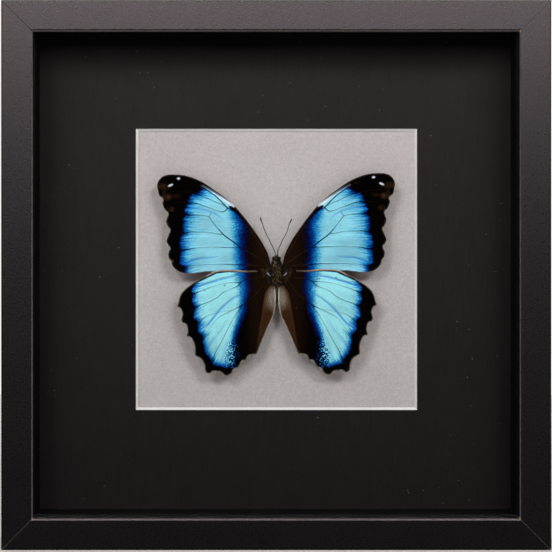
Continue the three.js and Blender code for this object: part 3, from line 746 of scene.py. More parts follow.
def arc(centre, radius, start, end, steps):
    """Points on a circle, angles in degrees."""
    angles = np.radians(np.linspace(start, end, steps + 1))
    return [(centre[0] + radius * math.cos(a), centre[1] + radius * math.sin(a)) for a in angles]


def straight(start, end, support=0.12, spacing=2.5):
    """Points between two corners, the outer ones close to the corners so that the face stays flat."""
    start, end = np.array(start, float), np.array(end, float)
    length = np.linalg.norm(end - start)
    stations = [support, *np.arange(spacing, length - 0.5, spacing), length - support]
    return [tuple(start + (end - start) * (s / length)) for s in stations]


def rail_section(depth):
    """Section of a rail as inset from the outside and depth behind the front, in millimetres,
    with the index of the first point past the foil's end."""
    lip = FACE_WIDTH
    inner, outer = INNER_EDGE_RADIUS, OUTER_EDGE_RADIUS
    points = straight((outer, 0), (lip - inner, 0))
    points += arc((lip - inner, inner), inner, -90, 0, 10)
    points += straight((lip, inner), (lip, LIP_DEPTH))
    points += [(lip, LIP_DEPTH)]
    points += straight((lip, LIP_DEPTH), (WALL_THICKNESS, LIP_DEPTH))
    foil_end = len(points)
    points += [(WALL_THICKNESS, LIP_DEPTH)]
    points += straight((WALL_THICKNESS, LIP_DEPTH), (WALL_THICKNESS, depth))
    points += [(WALL_THICKNESS, depth)]
    points += straight((WALL_THICKNESS, depth), (0, depth))
    foil_start = len(points)
    points += [(0, depth)]
    points += straight((0, depth), (0, outer))
    points += arc((outer, outer), outer, 180, 270, 6)
    return points, foil_end, foil_start


def ring_faces(rows, count):
    """Faces between rows of points, count to a row, each row closed to a ring."""
    after = [(i + 1) % count for i in range(count)]
    return [(row * count + i, row * count + after[i], (row + 1) * count + after[i], (row + 1) * count + i)
            for row in range(rows - 1) for i in range(count)]


def rail_rows(half):
    """Where along a rail its sections stand, and the gap of each to the nearer mitre."""
    middle = np.linspace(0, 1, RAIL_MIDDLE_ROWS)[1:-1]
    rows = [-(half - gap) for gap in MITRE_ROWS]
    rows += [(half - MITRE_ROWS[-1]) * (2 * share - 1) for share in middle]
    rows += [half - gap for gap in reversed(MITRE_ROWS)]
    return rows, MITRE_ROWS + [MITRE_ROWS[-1]] * len(middle) + MITRE_ROWS[::-1]


def rail_marks(side_name, insets, depths, gaps):
    """Wear at the mitres, chips at the inner corners, a painted highlight on the inner edge, and the outer
    wall.
    """
    wear, chip = [], []
    for number, gap in enumerate(gaps):
        is_high_end = number >= len(gaps) / 2
        edge_wear = max(0.0, 1 - gap / WEAR_REACH) * RAIL_WEAR[side_name][is_high_end]
        wear.append(np.full(len(insets), edge_wear))
        corner_gap = np.hypot(insets - FACE_WIDTH + CHIP_INSET, gap)
        chip.append(np.clip(1.2 - corner_gap / CHIP_REACH, 0, 1) * CHIPS[side_name][is_high_end])
    # Painted highlight: the inner edge's rounding is painted pale between two depths
    highlight_share, highlight_until = PAINTED_HIGHLIGHT[side_name]
    is_highlighted = (insets > FACE_WIDTH - INNER_EDGE_RADIUS) & (depths > PAINTED_HIGHLIGHT_FROM) & (depths < highlight_until)
    return {
        "wear": np.concatenate(wear),
        "chip": np.concatenate(chip),
        "painted_highlight": np.tile(is_highlighted * highlight_share, len(gaps)),
        "outer": np.tile(insets < 0.01, len(gaps)),
    }


def add_rail(side_name, side, materials):
    """One mitred rail: the bottom one, turned about the frame's middle."""
    low, high = cad_bounds
    front, depth = low[1], (high[1] - low[1]) / MM
    half_side = (high[0] - low[0]) / 2 / MM
    section, foil_end, foil_start = rail_section(depth)
    insets, depths = np.array(section).T
    rows, gaps = rail_rows(half_side - insets - MITRE_GAP)
    turn = side * math.pi / 2
    points = []
    for x, gap in zip(rows, gaps):
        z = insets - half_side
        turned_x = x * math.cos(turn) + z * math.sin(turn)
        turned_z = -x * math.sin(turn) + z * math.cos(turn)
        y = front / MM + depths
        if gap == 0:
            y = y + MITRE_GROOVE * np.clip(1 - depths / INNER_EDGE_RADIUS, 0, 1)
        points.append(np.column_stack([turned_x, y, turned_z + half_side]) * MM)
    count = len(section)
    last = (len(rows) - 1) * count
    faces = ring_faces(len(rows), count) + [tuple(range(count)), tuple(range(last, last + count))]
    is_lip_wall = (insets == FACE_WIDTH) & (np.roll(insets, -1) == FACE_WIDTH)
    is_raw = (np.arange(count) >= foil_end) & (np.arange(count) < foil_start)
    kinds = [*np.tile(np.where(is_raw, 1, 2 * is_lip_wall), len(rows) - 1).tolist(), 1, 1]
    piece = add_piece(f"rail_{side_name}_wrapped", np.vstack(points), faces, materials,
                      [f"rail_{side_name}"], rail_marks(side_name, insets, depths, gaps))
    piece.data.polygons.foreach_set("material_index", kinds)
    face_outwards(piece.data)
    piece.data.set_sharp_from_angle(angle=SHARP_ANGLE)


# Curves and distances in the plane

def smooth_curve(points, closed, steps=12):
    """A Catmull-Rom curve through the points, steps to a span."""
    points = np.array(points, float)
    count = len(points)
    spans = count if closed else count - 1
    at = np.arange(spans * steps + (0 if closed else 1)) / steps
    first = np.minimum(at.astype(int), spans - 1)
    t = (at - first)[:, None]

    def pick(offset):
        number = first + offset
        return points[number % count] if closed else points[np.clip(number, 0, count - 1)]

    a, b, c, d = pick(-1), pick(0), pick(1), pick(2)
    return 0.5 * (2 * b + (c - a) * t + (2 * a - 5 * b + 4 * c - d) * t**2
                  + (3 * b - a - 3 * c + d) * t**3)


def even_curve(points, closed, spacing):
    """The same curve with points about spacing apart."""
    curve = smooth_curve(points, closed)
    if closed:
        curve = np.vstack([curve, curve[:1]])
    steps = np.linalg.norm(np.diff(curve[:, :2], axis=0), axis=1)
    reach = np.concatenate([[0], np.cumsum(steps)])
    count = max(2, round(reach[-1] / spacing))
    wanted = np.linspace(0, reach[-1], count + 1)
    if closed:
        wanted = wanted[:-1]
    return np.column_stack([np.interp(wanted, reach, curve[:, k]) for k in range(curve.shape[1])])


def nearest(points, line):
    """Distance from each point to a line's first two columns, and its third there if it has one."""
    best = np.full(len(points), np.inf)
    value = np.zeros(len(points))
    for start, end in zip(line[:-1], line[1:]):
        span = end[:2] - start[:2]
        t = np.clip(((points - start[:2]) @ span) / max(span @ span, 1e-9), 0, 1)
        gap = np.linalg.norm(points - start[:2] - t[:, None] * span, axis=1)
        nearer = gap < best
        best[nearer] = gap[nearer]
        if line.shape[1] > 2:
            value[nearer] = (start[2] + t * (end[2] - start[2]))[nearer]
    return best, value


def inside(points, polygon):
    """Whether each point lies in the polygon."""
    x, z = points[:, 0], points[:, 1]
    result = np.zeros(len(points), bool)
    for (x0, z0), (x1, z1) in zip(polygon, np.roll(polygon, -1, axis=0)):
        if z0 == z1:
            continue
        crosses = ((z0 > z) != (z1 > z)) & (x < (x1 - x0) * (z - z0) / (z1 - z0) + x0)
        result ^= crosses
    return result


def smoothstep(value, low, high):
    share = np.clip((value - low) / (high - low), 0, 1)
    return share * share * (3 - 2 * share)


def soft_noise(points, size, seed):
    """Smooth noise of about -0.5 to 0.5 at points in the plane."""
    offset = 17.3 * seed
    return np.array([noise.noise(Vector((x / size, z / size, offset))) for x, z in points])


# Wings

class Wing:
    """What makes up one kind of wing, in millimetres, with X outwards."""

    def __init__(self, kind):
        fore = kind == "forewing"
        self.kind = kind
        self.outline = FOREWING_OUTLINE if fore else HINDWING_OUTLINE
        self.border = FOREWING_BORDER if fore else HINDWING_BORDER
        self.lead = FOREWING_LEAD if fore else HINDWING_LEAD
        self.ramp = np.array(FOREWING_RAMP if fore else HINDWING_RAMP)
        self.veins = FOREWING_VEINS if fore else HINDWING_VEINS
        self.folds = FOREWING_FOLDS if fore else HINDWING_FOLDS
        self.whites = FOREWING_WHITES if fore else []
        self.tans = FOREWING_TANS if fore else []
        self.notches = FOREWING_NOTCHES if fore else HINDWING_NOTCHES
        self.eyes = FOREWING_EYES if fore else HINDWING_EYES
        self.turn = FOREWING_TURN if fore else HINDWING_TURN
        self.step = FOREWING_STEP if fore else 0.0
        self.ray_centre = (-40.0, 20.0) if fore else (9.0, -4.5)
        self.ray_scale = 80.0 if fore else 35.0
        self.border_pace = 1.0 if fore else 1.4
        self.fringe = 0.2 if fore else 0.4
        self.seed = 3 if fore else 8


def wing_plan(wing):
    """The wing's points and triangles in its plane, with points along its edge and veins."""
    rng = np.random.default_rng(wing.seed)
    outline = even_curve(wing.outline, True, POINT_SPACING)
    ragged = soft_noise(outline, RAGGED_SIZE, wing.seed)[:, None] * RAGGED_DEPTH
    outline = outline + ragged * (outline - outline.mean(0)) / RAGGED_RADIUS
    veins = [even_curve(vein, False, POINT_SPACING) for vein in wing.veins]
    low, high = outline.min(0), outline.max(0)
    grid = []
    for number, z in enumerate(np.arange(low[1], high[1], POINT_SPACING * ROW_SHARE)):
        row = np.arange(low[0] + (number % 2) * POINT_SPACING / 2, high[0], POINT_SPACING)
        grid.append(np.column_stack([row, np.full(len(row), z)]))
    grid = np.vstack(grid)
    grid = grid + rng.uniform(-SCATTER, SCATTER, grid.shape)
    closed_outline = np.vstack([outline, outline[:1]])
    keep = inside(grid, outline) & (nearest(grid, closed_outline)[0] > RIM_CLEARANCE)
    for vein in veins:
        keep &= nearest(grid, vein)[0] > VEIN_CLEARANCE
    grid = grid[keep]
    points = [Vector(p) for p in outline]
    edges = [(i, (i + 1) % len(outline)) for i in range(len(outline))]
    for vein in veins:
        line = vein[:, :2]
        is_clear = nearest(line, closed_outline)[0] > VEIN_END_CLEARANCE
        line = line[inside(line, outline) & is_clear]
        start = len(points)
        points += [Vector(p) for p in line]
        edges += [(start + i, start + i + 1) for i in range(len(line) - 1)]
        along = np.gradient(line, axis=0)
        beside = np.column_stack([-along[:, 1], along[:, 0]])
        beside /= np.linalg.norm(beside, axis=1)[:, None]
        for offset in (-BESIDE_VEIN, BESIDE_VEIN):
            points += [Vector(p) for p in line + offset * beside]
    points += [Vector(p) for p in grid]
    made = delaunay_2d_cdt(points, edges, [], 1, 1e-4, False)
    plan, triangles = np.array([tuple(p) for p in made[0]]), np.array(made[2])
    return plan, triangles[inside(plan[triangles].mean(1), outline)].tolist()


def ellipse_share(points, spots):
    """The strongest of the spots at each point, 1 inside and falling to 0 past the edge."""
    share = np.zeros(len(points))
    for x, z, half_x, half_z, turn, strength in spots:
        angle = math.radians(turn)
        dx, dz = points[:, 0] - x, points[:, 1] - z
        along = dx * math.cos(angle) + dz * math.sin(angle)
        across = -dx * math.sin(angle) + dz * math.cos(angle)
        radius = np.hypot(along / half_x, across / half_z)
        share = np.maximum(share, strength * np.clip(2.2 * (1.25 - radius), 0, 1))
    return share


def vein_marks(wing, side_name, points):
    """Distance to the nearest vein or dot, how dark it is, and the distance to the nearest vein."""
    x, z = points[:, 0], points[:, 1]
    vein_gap = np.full(len(points), 9.0)
    vein_tone = np.zeros(len(points))
    for vein in wing.veins:
        gap, tone = nearest(points, even_curve(vein, False, 0.5))
        nearer = gap < vein_gap
        vein_gap[nearer] = gap[nearer]
        vein_tone[nearer] = np.clip(tone[nearer], 0, 1)
    relief_gap = vein_gap.copy()
    for dot_x, dot_z, strength in SIDE_DOTS[(wing.kind, side_name)]:
        gap = np.maximum(np.hypot(x - dot_x, z - dot_z) - 0.25, 0)
        nearer = gap < np.minimum(vein_gap, 0.5)
        vein_gap[nearer] = gap[nearer]
        vein_tone[nearer] = strength
    return vein_gap, vein_tone, relief_gap


def wing_marks(wing, side_name, points):
    """Everything that the wing's colours depend on, at each point."""
    x, z = points[:, 0], points[:, 1]
    border, lead = np.array(wing.border), np.array(wing.lead)
    floor_x = 1.0 if wing.kind == "forewing" else 2.0
    polygon = np.vstack([border, lead[1:], [(floor_x, lead[-1][1]), (floor_x, border[0][1])]])
    sign = np.where(inside(points, polygon), 1, -1)
    border_gap = nearest(points, border)[0] * sign
    lead_gap = nearest(points, lead)[0] * sign
    ramp = wing.ramp
    dark_x, deep_x, pale_x = (np.interp(z, ramp[:, 0], ramp[:, column]) for column in (1, 2, 3))
    inner = np.where(x < deep_x, DEEP_SHARE * (x - dark_x) / (deep_x - dark_x),
                     DEEP_SHARE + PALE_RISE * (x - deep_x) / (pale_x - deep_x))
    outline = even_curve(wing.outline, True, POINT_SPACING)
    rim = nearest(points, np.vstack([outline, outline[:1]]))[0]

    vein_gap, vein_tone, relief_gap = vein_marks(wing, side_name, points)
    fold = np.zeros(len(points))
    for line in wing.folds:
        gap, strength = nearest(points, even_curve(line, False, 0.5))
        fold = np.maximum(fold, np.clip(strength, 0, 1) * np.exp(-((gap / FOLD_WIDTH) ** 2)))

    centre_x, centre_z = wing.ray_centre
    marks = {
        "inner": np.clip(inner, -0.6, 1.2),
        "edge": np.minimum(np.interp(border_gap * wing.border_pace, BORDER_GAPS, BORDER_SHARES),
                           lead_gap / LEAD_SOFTNESS),
        "vein_gap": np.minimum(vein_gap / (0.68 + 0.45 * vein_tone), 3),
        "vein_tone": vein_tone,
        "fold": fold,
        "reach": np.hypot(x - centre_x, z - centre_z),
        "across": np.arctan2(z - centre_z, x - centre_x) * wing.ray_scale,
        "hind": np.full(len(points), 0.0 if wing.kind == "forewing" else 1.0),
        "eye": np.min([np.hypot(x - ex, z - ez) / er for ex, ez, er in wing.eyes], axis=0),
    }
    marks.update({label: np.zeros(len(points)) for label in ("tan", "white", "grey", "speckle")})
    notch = np.zeros(len(points))
    for notch_x, notch_z in wing.notches:
        notch = np.maximum(notch, np.exp(-(((x - notch_x) ** 2 + (z - notch_z) ** 2) / NOTCH_AREA)))
    fringe = np.clip(1.3 - rim / FRINGE_WIDTH, 0, 1) * np.clip(notch * 1.5 + wing.fringe, 0, 1) * (x > 9)
    if wing.kind == "forewing":
        add_forewing_marks(marks, points, fringe, SIDE_TANS[side_name])
    else:
        add_hindwing_marks(marks, points, fringe, rim)
    return marks, relief_gap


def add_forewing_marks(marks, points, fringe, side_tans):
    """White costal streak and spots, pale lower edge and the tan flecks of the tip."""
    x, z = points[:, 0], points[:, 1]
    gap, strength = nearest(points, np.array(WHITE_STREAK))
    spots = ellipse_share(points, FOREWING_WHITES)
    low_edge = 0.12 * smoothstep(-z, -2.5, 2.0) * smoothstep(marks["inner"], 0.9, 1.4)
    low_edge = low_edge * (marks["edge"] > 0.5)
    is_off_vein = nearest(points, smooth_curve(FOREWING_VEINS[2], False))[0] > 0.1
    streak_share = strength * np.clip(1.6 - gap / 0.58, 0, 1) * is_off_vein
    marks["white"] = np.maximum.reduce([spots, streak_share * (x < 35.5), low_edge])
    marks["tan"] = ellipse_share(points, FOREWING_TANS + side_tans)
    marks["root"] = smoothstep(-x, -22.0, -14.0)
    marks["umber"] = 0.12 * smoothstep(-x, -16.0, -6.0)
    marks["cream"] = fringe * 0.8


def add_hindwing_marks(marks, points, fringe, rim):
    """Tan leading edge, speckled lower field and the grey silky fold beside the abdomen."""
    x, z = points[:, 0], points[:, 1]
    tan_edge = smoothstep(x, 10.0, 19.0) * smoothstep(-x, -35.0, -31.0) * (z > -6)
    tan_edge = tan_edge * np.clip(1.5 - rim / 0.6, 0, 1)
    marks["root"] = smoothstep(-x, -16.0, -9.0)
    inwards = x - np.interp(z, *INNER_EDGE)
    fold_edge = np.interp(z, *SILK_EDGE)
    silk_end = -17.2 - 0.6 * np.clip(4.5 - x, 0, 4)
    reach = smoothstep(-z, 7.8, 11.5) * smoothstep(z - silk_end, -3.5, 3.5)
    marks["grey"] = 0.95 * reach * smoothstep(-x / fold_edge, -1.06, -0.4)
    gap, strength = nearest(points, smooth_curve(HINDWING_FOLD_LINE, False))
    line_x = np.interp(-z, [-p[1] for p in HINDWING_FOLD_LINE], [p[0] for p in HINDWING_FOLD_LINE])
    brown = 0.42 + 0.2 * smoothstep(z, -22.0, -17.0)
    brown = brown * smoothstep(line_x - x, -1.0, 0.4) * smoothstep(z, -42.0, -30.0)
    brown = brown * smoothstep(-z, 7.6, 9.0)
    brown = brown + 0.32 * strength * np.exp(-((gap / 0.3) ** 2))
    marks["umber"] = np.maximum(brown, 0.08 * marks["root"])
    cream_rim = smoothstep(-inwards, -0.55, -0.15) * smoothstep(-z, 8.5, 11.0)
    cream_rim = cream_rim * smoothstep(z, -44.0, -30.0)
    marks["cream"] = np.maximum.reduce([fringe * 0.9, 0.95 * cream_rim, 0.9 * tan_edge])
    low = smoothstep(-z, 32.0, 38.0)
    marks["speckle"] = low * smoothstep(-x, -26.0, -23.0)


def add_wing(wing, side_name, top, under):
    """A thin curved membrane with raised veins, its marks as attributes for the materials."""
    side = SIDES[side_name]
    plan, triangles = wing_plan(wing)
    marks, relief_gap = wing_marks(wing, side_name, plan)
    x, z = plan[:, 0], plan[:, 1]
    wave = soft_noise(plan, WAVE_LENGTH, wing.seed + side) * WAVE_HEIGHT * smoothstep(x, 5.0, 45.0)
    bulge = -BULGE * (1 - np.exp(-((relief_gap / BULGE_WIDTH) ** 2)))
    ridge = RIDGE * np.clip(2 * marks["vein_tone"], 0.15, 1) * np.exp(-((relief_gap / RIDGE_WIDTH) ** 2))
    curl = np.zeros(len(x))
    if wing.kind == "hindwing":
        from_edge = np.interp(z, *CURL_EDGE)
        near_edge = np.clip(1 - (x - from_edge) / CURL_WIDTH, 0, 1) * smoothstep(-z, 8.0, 11.0)
        curl = CURL_HEIGHT * near_edge**2 * smoothstep(z, -40.0, -28.0)
    sheet = WING_MIDDLE + wave + bulge + VALLEY * marks["fold"] + curl
    front = np.column_stack([side * x, sheet - MEMBRANE / 2 - ridge, z])
    back = np.column_stack([side * x, sheet + MEMBRANE / 2 + 0.4 * ridge, z])
    spin = Matrix.Rotation(-wing.turn, 3, "Y") @ Matrix.Rotation(-side * WING_LIFT, 3, "Z")
    points = np.vstack([front, back]) @ np.array(spin).T + (0, wing.step, 0)

    count = len(plan)
    faces = [tuple(t) if side > 0 else tuple(reversed(t)) for t in triangles]
    used = {(t[i], t[(i + 1) % 3]) for t in faces for i in range(3)}
    rim = [(b, a, a + count, b + count) for a, b in used if (b, a) not in used]
    rim.sort()
    reverse = [tuple(i + count for i in reversed(t)) for t in faces]
    kinds = [0] * len(faces) + [1] * len(reverse) + [0] * len(rim)
    attributes = {label: np.tile(values, 2) for label, values in marks.items()}
    piece = add_piece(f"{wing.kind}_{side_name}_membrane", specimen_place(points), faces + reverse + rim,
                      [top, under], [f"{wing.kind}_{side_name}"], attributes)
    piece.data.polygons.foreach_set("material_index", kinds)
    smooth = np.ones(len(kinds), bool)
    smooth[-len(rim):] = False
    piece.data.polygons.foreach_set("use_smooth", smooth)


def specimen_place(points):
    """Points around the wing roots, in millimetres, in the row frame in metres."""
    card_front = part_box("background_card")[0].y
    origin = np.array([SPECIMEN_X * MM, card_front - HEIGHT_ABOVE_CARD * MM, SPECIMEN_Z * MM])
    return np.asarray(points) * MM + origin


# Body

def ball(centre, radii, around=48, along=32, rough=0.0, size=1.0, seed=1):
    """Points and faces of an ellipsoid with a rough surface."""
    points, faces = [], []
    for row in range(along + 1):
        polar = math.pi * row / along
        for column in range(around if 0 < row < along else 1):
            angle = 2 * math.pi * column / around
            reach = math.sin(polar)
            unit = Vector((reach * math.cos(angle), reach * math.sin(angle), math.cos(polar)))
            swell = 1 + rough * noise.noise(unit * (max(radii) / size) + Vector((seed, 0, 0)))
            points.append([c + r * u * swell for c, r, u in zip(centre, radii, unit)])
    last = len(points) - 1

    def at(row, column):
        return 1 + (row - 1) * around + column % around

    for column in range(around):
        faces.append((0, at(1, column), at(1, column + 1)))
        faces.append((last, at(along - 1, column + 1), at(along - 1, column)))
        for row in range(1, along - 1):
            faces.append((at(row, column), at(row + 1, column),
                          at(row + 1, column + 1), at(row, column + 1)))
    return np.array(points), faces


def tube(path, radii, sides=10):
    """Points and faces of a round tube along a path, closed by small cones at its ends."""
    path, radii = np.array(path, float), np.array(radii, float)
    direction = np.gradient(path, axis=0)
    direction /= np.linalg.norm(direction, axis=1)[:, None]
    first = np.cross(direction, (0.3, 1.0, 0.1))
    first /= np.linalg.norm(first, axis=1)[:, None]
    second = np.cross(direction, first)
    angles = np.arange(sides) * 2 * math.pi / sides
    ring = np.cos(angles)[None, :, None] * first[:, None] + np.sin(angles)[None, :, None] * second[:, None]
    points = (path[:, None] + ring * radii[:, None, None]).reshape(-1, 3)
    tips = np.vstack([path[0] - direction[0] * radii[0], path[-1] + direction[-1] * radii[-1]])
    points = np.vstack([points, tips])
    count = len(path)
    faces = ring_faces(count, sides)
    start, end = count * sides, count * sides + 1
    for i in range(sides):
        after = (i + 1) % sides
        faces.append((start, after, i))
        faces.append((end, (count - 1) * sides + i, (count - 1) * sides + after))
    return points, faces


def join(shapes):
    """Several shapes as one list of points and one of faces."""
    points, faces = [], []
    for shape_points, shape_faces in shapes:
        start = sum(len(p) for p in points)
        points.append(shape_points)
        faces += [tuple(start + i for i in face) for face in shape_faces]
    return np.vstack(points), faces


def strands(roots, directions, lengths, radius, droop, rng, rings=5):
    """Tapered hairs: points, faces, and for each point its place along the hair and the hair's tone."""
    count = len(roots)
    share = np.linspace(0, 1, rings)
    bend = rng.normal(0, 0.22, (count, 3)) + np.array(droop)
    unit = directions / np.linalg.norm(directions, axis=1)[:, None]
    path = (roots[:, None] + unit[:, None] * (share[:, None] * lengths[:, None, None])
            + bend[:, None] * ((share**2)[:, None] * lengths[:, None, None]))
    side = np.cross(unit, rng.normal(0, 1, (count, 3)))
    side /= np.linalg.norm(side, axis=1)[:, None]
    other = np.cross(unit, side)
    angles = np.arange(3) * 2 * math.pi / 3
    ring = np.cos(angles)[:, None] * side[:, None] + np.sin(angles)[:, None] * other[:, None]
    thickness = radius * (1 - 0.85 * share**1.5)
    points = path[:, :, None] + ring[:, None] * thickness[None, :, None, None]
    size = rings * 3
    faces = ring_faces(rings, 3) + [(2, 1, 0), (size - 3, size - 2, size - 1)]
    starts = np.arange(count) * size
    all_faces = [tuple(s + i for i in face) for s in starts.tolist() for face in faces]
    along = np.tile(np.repeat(share, 3), count)
    patch = np.array([noise.noise(Vector(root / MOTTLE_SIZE)) for root in roots])
    tone = np.repeat(np.clip(3.2 * patch - 0.35 + rng.uniform(-0.25, 0.25, count), 0, 1), size)
    return points.reshape(-1, 3), all_faces, along, tone


def add_part(name, shape, material, nodes=()):
    """A shape of the butterfly, in millimetres, as one piece."""
    points, faces = shape
    add_piece(name, specimen_place(points), faces, [material], nodes)


def add_hair(name, hairs, material):
    """Hairs as one piece."""
    points, faces, along, tone = hairs
    shades = {"along": along, "tone": tone}
    piece = add_piece(name, specimen_place(points), faces, [material], (), shades)
    face_outwards(piece.data)


def coat(centre, radii, count, length, lay, lift, rng, reach=lambda unit: unit[:, 1] < 2):
    """Roots, directions and lengths of hair over an ellipsoid, combed along lay."""
    unit = rng.normal(0, 1, (count, 3))
    unit /= np.linalg.norm(unit, axis=1)[:, None]
    unit = unit[reach(unit)]
    roots = np.array(centre) + unit * np.array(radii) * 0.97
    normal = unit / np.array(radii)
    normal /= np.linalg.norm(normal, axis=1)[:, None]
    directions = normal * lift + np.array(lay) + rng.normal(0, 0.25, roots.shape)
    lengths = length * rng.uniform(0.55, 1.15, len(roots))
    return roots, directions, lengths


def add_thorax(skin, hair):
    rng = np.random.default_rng(21)
    shapes = [
        ball(THORAX_CENTRE, THORAX_RADII, 64, 48, 0.16, 1.3, 5),
        ball(COLLAR_CENTRE, COLLAR_RADII, 48, 32, 0.14, 0.9, 9),
    ]
    add_part("thorax_skin", join(shapes), skin, ["thorax"])
    coats = [
        strands(*coat(THORAX_CENTRE, THORAX_RADII, HAIRS["thorax"], 0.9, (0, -0.1, -0.75), 0.5, rng),
                HAIR_RADII["thorax"], (0, 0.05, -0.2), rng),
        strands(*coat(COLLAR_CENTRE, COLLAR_RADII, HAIRS["collar"], 0.7, (0, -0.15, -0.3), 0.6, rng),
                HAIR_RADII["collar"], (0, 0, -0.1), rng),
    ]
    add_hair("thorax_hair", merge_hairs(coats), hair)


def add_head(skin, eyes, hair):
    rng = np.random.default_rng(22)
    x, y, z = HEAD_CENTRE
    shapes = [ball(HEAD_CENTRE, HEAD_RADII, 40, 28, 0.12, 0.6, 2)]
    for side in (-1, 1):
        start = (x + side * 0.45, y - 0.1, z + 0.7)
        middle = (x + side * 0.55, y - 0.6, z + 1.6)
        end = (x + side * 0.5, y - 0.9, z + 2.1)
        path = smooth_curve([start, middle, end], False, 8)
        shapes.append(tube(path, 0.3 - 0.2 * np.linspace(0, 1, len(path)) ** 2, 12))
    add_part("head_skin", join(shapes), skin, ["head"])
    eye_radii = (EYE_RADIUS * 0.85, EYE_RADIUS, EYE_RADIUS)
    balls = [ball((x + side * EYE_OFFSET, y - 0.1, z + 0.1), eye_radii) for side in (-1, 1)]
    add_part("eyes", join(balls), eyes)
    tuft = coat(HEAD_CENTRE, HEAD_RADII, HAIRS["head"], 0.5, (0, -0.3, 0.2), 0.8, rng,
                lambda unit: abs(unit[:, 0]) < 0.75)
    add_hair("head_hair", strands(*tuft, HAIR_RADII["head"], (0, 0, 0.1), rng), hair)


def add_abdomen(horn, hair):
    rng = np.random.default_rng(23)
    points, faces = ball(ABDOMEN_CENTRE, ABDOMEN_RADII, 48, 60)
    height = points[:, 2] - ABDOMEN_CENTRE[2]
    rings = 1 + ABDOMEN_RING_DEPTH * np.cos(height * 2 * math.pi / ABDOMEN_RING_PITCH)
    points[:, 0] *= rings
    add_part("abdomen_skin", (points, faces), horn, ["abdomen"])
    down = coat(ABDOMEN_CENTRE, ABDOMEN_RADII, HAIRS["abdomen"], 0.7, (0, 0, -0.9), 0.35, rng)
    add_hair("abdomen_hair", strands(*down, HAIR_RADII["abdomen"], (0, 0, -0.1), rng), hair)


def between(start, end, side, count, scatter, rng):
    """Points scattered about the line between two places, on one side of the body."""
    start, end = np.array(start) * (side, 1, 1), np.array(end) * (side, 1, 1)
    return start + (end - start) * rng.uniform(0, 1, (count, 1)) + rng.normal(0, scatter, (count, 3))


def add_wing_root_hair(brown, light, pale):
    """Brown hair that spreads from the thorax over the wing roots, light tufts and pale streaks."""
    rng = np.random.default_rng(24)
    brown_parts, light_parts, pale_parts = [], [], []
    for side in (-1, 1):
        count = HAIRS["wing_root"]
        roots = np.column_stack([
            side * rng.uniform(1.9, 3.4, count),
            rng.uniform(-1.6, -0.6, count),
            rng.uniform(-6.5, 1.4, count),
        ])
        fan = np.column_stack([
            side * rng.uniform(0.8, 1.4, count),
            rng.uniform(-0.25, 0.15, count),
            (roots[:, 2] + 2.2) * 0.18 + rng.normal(0, 0.3, count),
        ])
        lengths = rng.uniform(1.0, 2.6, count) * (1 - 0.06 * abs(roots[:, 2] + 2.5))
        brown_parts.append(strands(roots, fan, lengths, HAIR_RADII["wing_root"], (0, 0.05, -0.05), rng))

        for start, end, count in TUFTS:
            roots = between(start, end, side, count, 0.35, rng)
            fan = np.column_stack([
                side * rng.uniform(0.2, 1.3, count),
                rng.uniform(-0.3, 0.1, count),
                rng.normal(0.1, 0.8, count),
            ])
            lengths = rng.uniform(0.5, 1.1, count)
            light_parts.append(strands(roots, fan, lengths, HAIR_RADII["tuft"], (0, 0, 0), rng))

        count = HAIRS["streak"]
        outward = (np.array(STREAK_OUTER) - STREAK_INNER) * (side, 1, 1)
        roots = np.array(STREAK_INNER) * (side, 1, 1) + rng.normal(0, 0.03, (count, 3))
        roots = roots + outward * rng.uniform(0, 0.3, (count, 1))
        heading = outward + rng.normal(0, 0.015, (count, 3))
        lengths = np.linalg.norm(outward) * rng.uniform(0.5, 0.7, count)
        pale_parts.append(strands(roots, heading, lengths, HAIR_RADII["streak"], (0, 0, 0), rng))
    add_hair("wing_root_hair", merge_hairs(brown_parts), brown)
    add_hair("wing_root_tufts", merge_hairs(light_parts), light)
    add_hair("wing_root_streaks", merge_hairs(pale_parts), pale)


def merge_hairs(parts):
    points, faces = join([(p[0], p[1]) for p in parts])
    return points, faces, np.concatenate([p[2] for p in parts]), np.concatenate([p[3] for p in parts])


def add_limbs(horn):
    """Ringed antennae that swell to slim clubs, and legs that taper to the foot."""
    for side_name, points in ANTENNAE.items():
        path = smooth_curve(points, False, 40)
        reach = np.concatenate([[0], np.cumsum(np.linalg.norm(np.diff(path, axis=0), axis=1))])
        from_tip = reach[-1] - reach
        swell = (CLUB_RADIUS - ANTENNA_RADIUS) * smoothstep(-from_tip, -CLUB_LENGTH, -CLUB_TIP)
        swell = swell * np.sqrt(np.clip(from_tip / CLUB_TIP, 0.04, 1))
        rings = 1 + RING_DEPTH * np.cos(reach * 2 * math.pi / RING_PITCH)
        shape = tube(path, (ANTENNA_RADIUS + swell) * rings, 12)
        add_part(f"antenna_{side_name}_ringed", shape, horn, [f"antenna_{side_name}"])
    for side_name, side in SIDES.items():
        for pair, points in LEGS.items():
            path = smooth_curve([(side * x, y, z) for x, y, z in points], False, 16)
            taper = LEG_RADIUS * (1 - LEG_TAPER * np.linspace(0, 1, len(path)))
            leg = f"leg_{pair}_{side_name}"
            add_part(f"{leg}_tapered", tube(path, taper, 10), horn, [leg])


# Camera, light and floor

def aim(thing, target):
    thing.rotation_euler = (Vector(target) - thing.location).to_track_quat("-Z", "Y").to_euler()


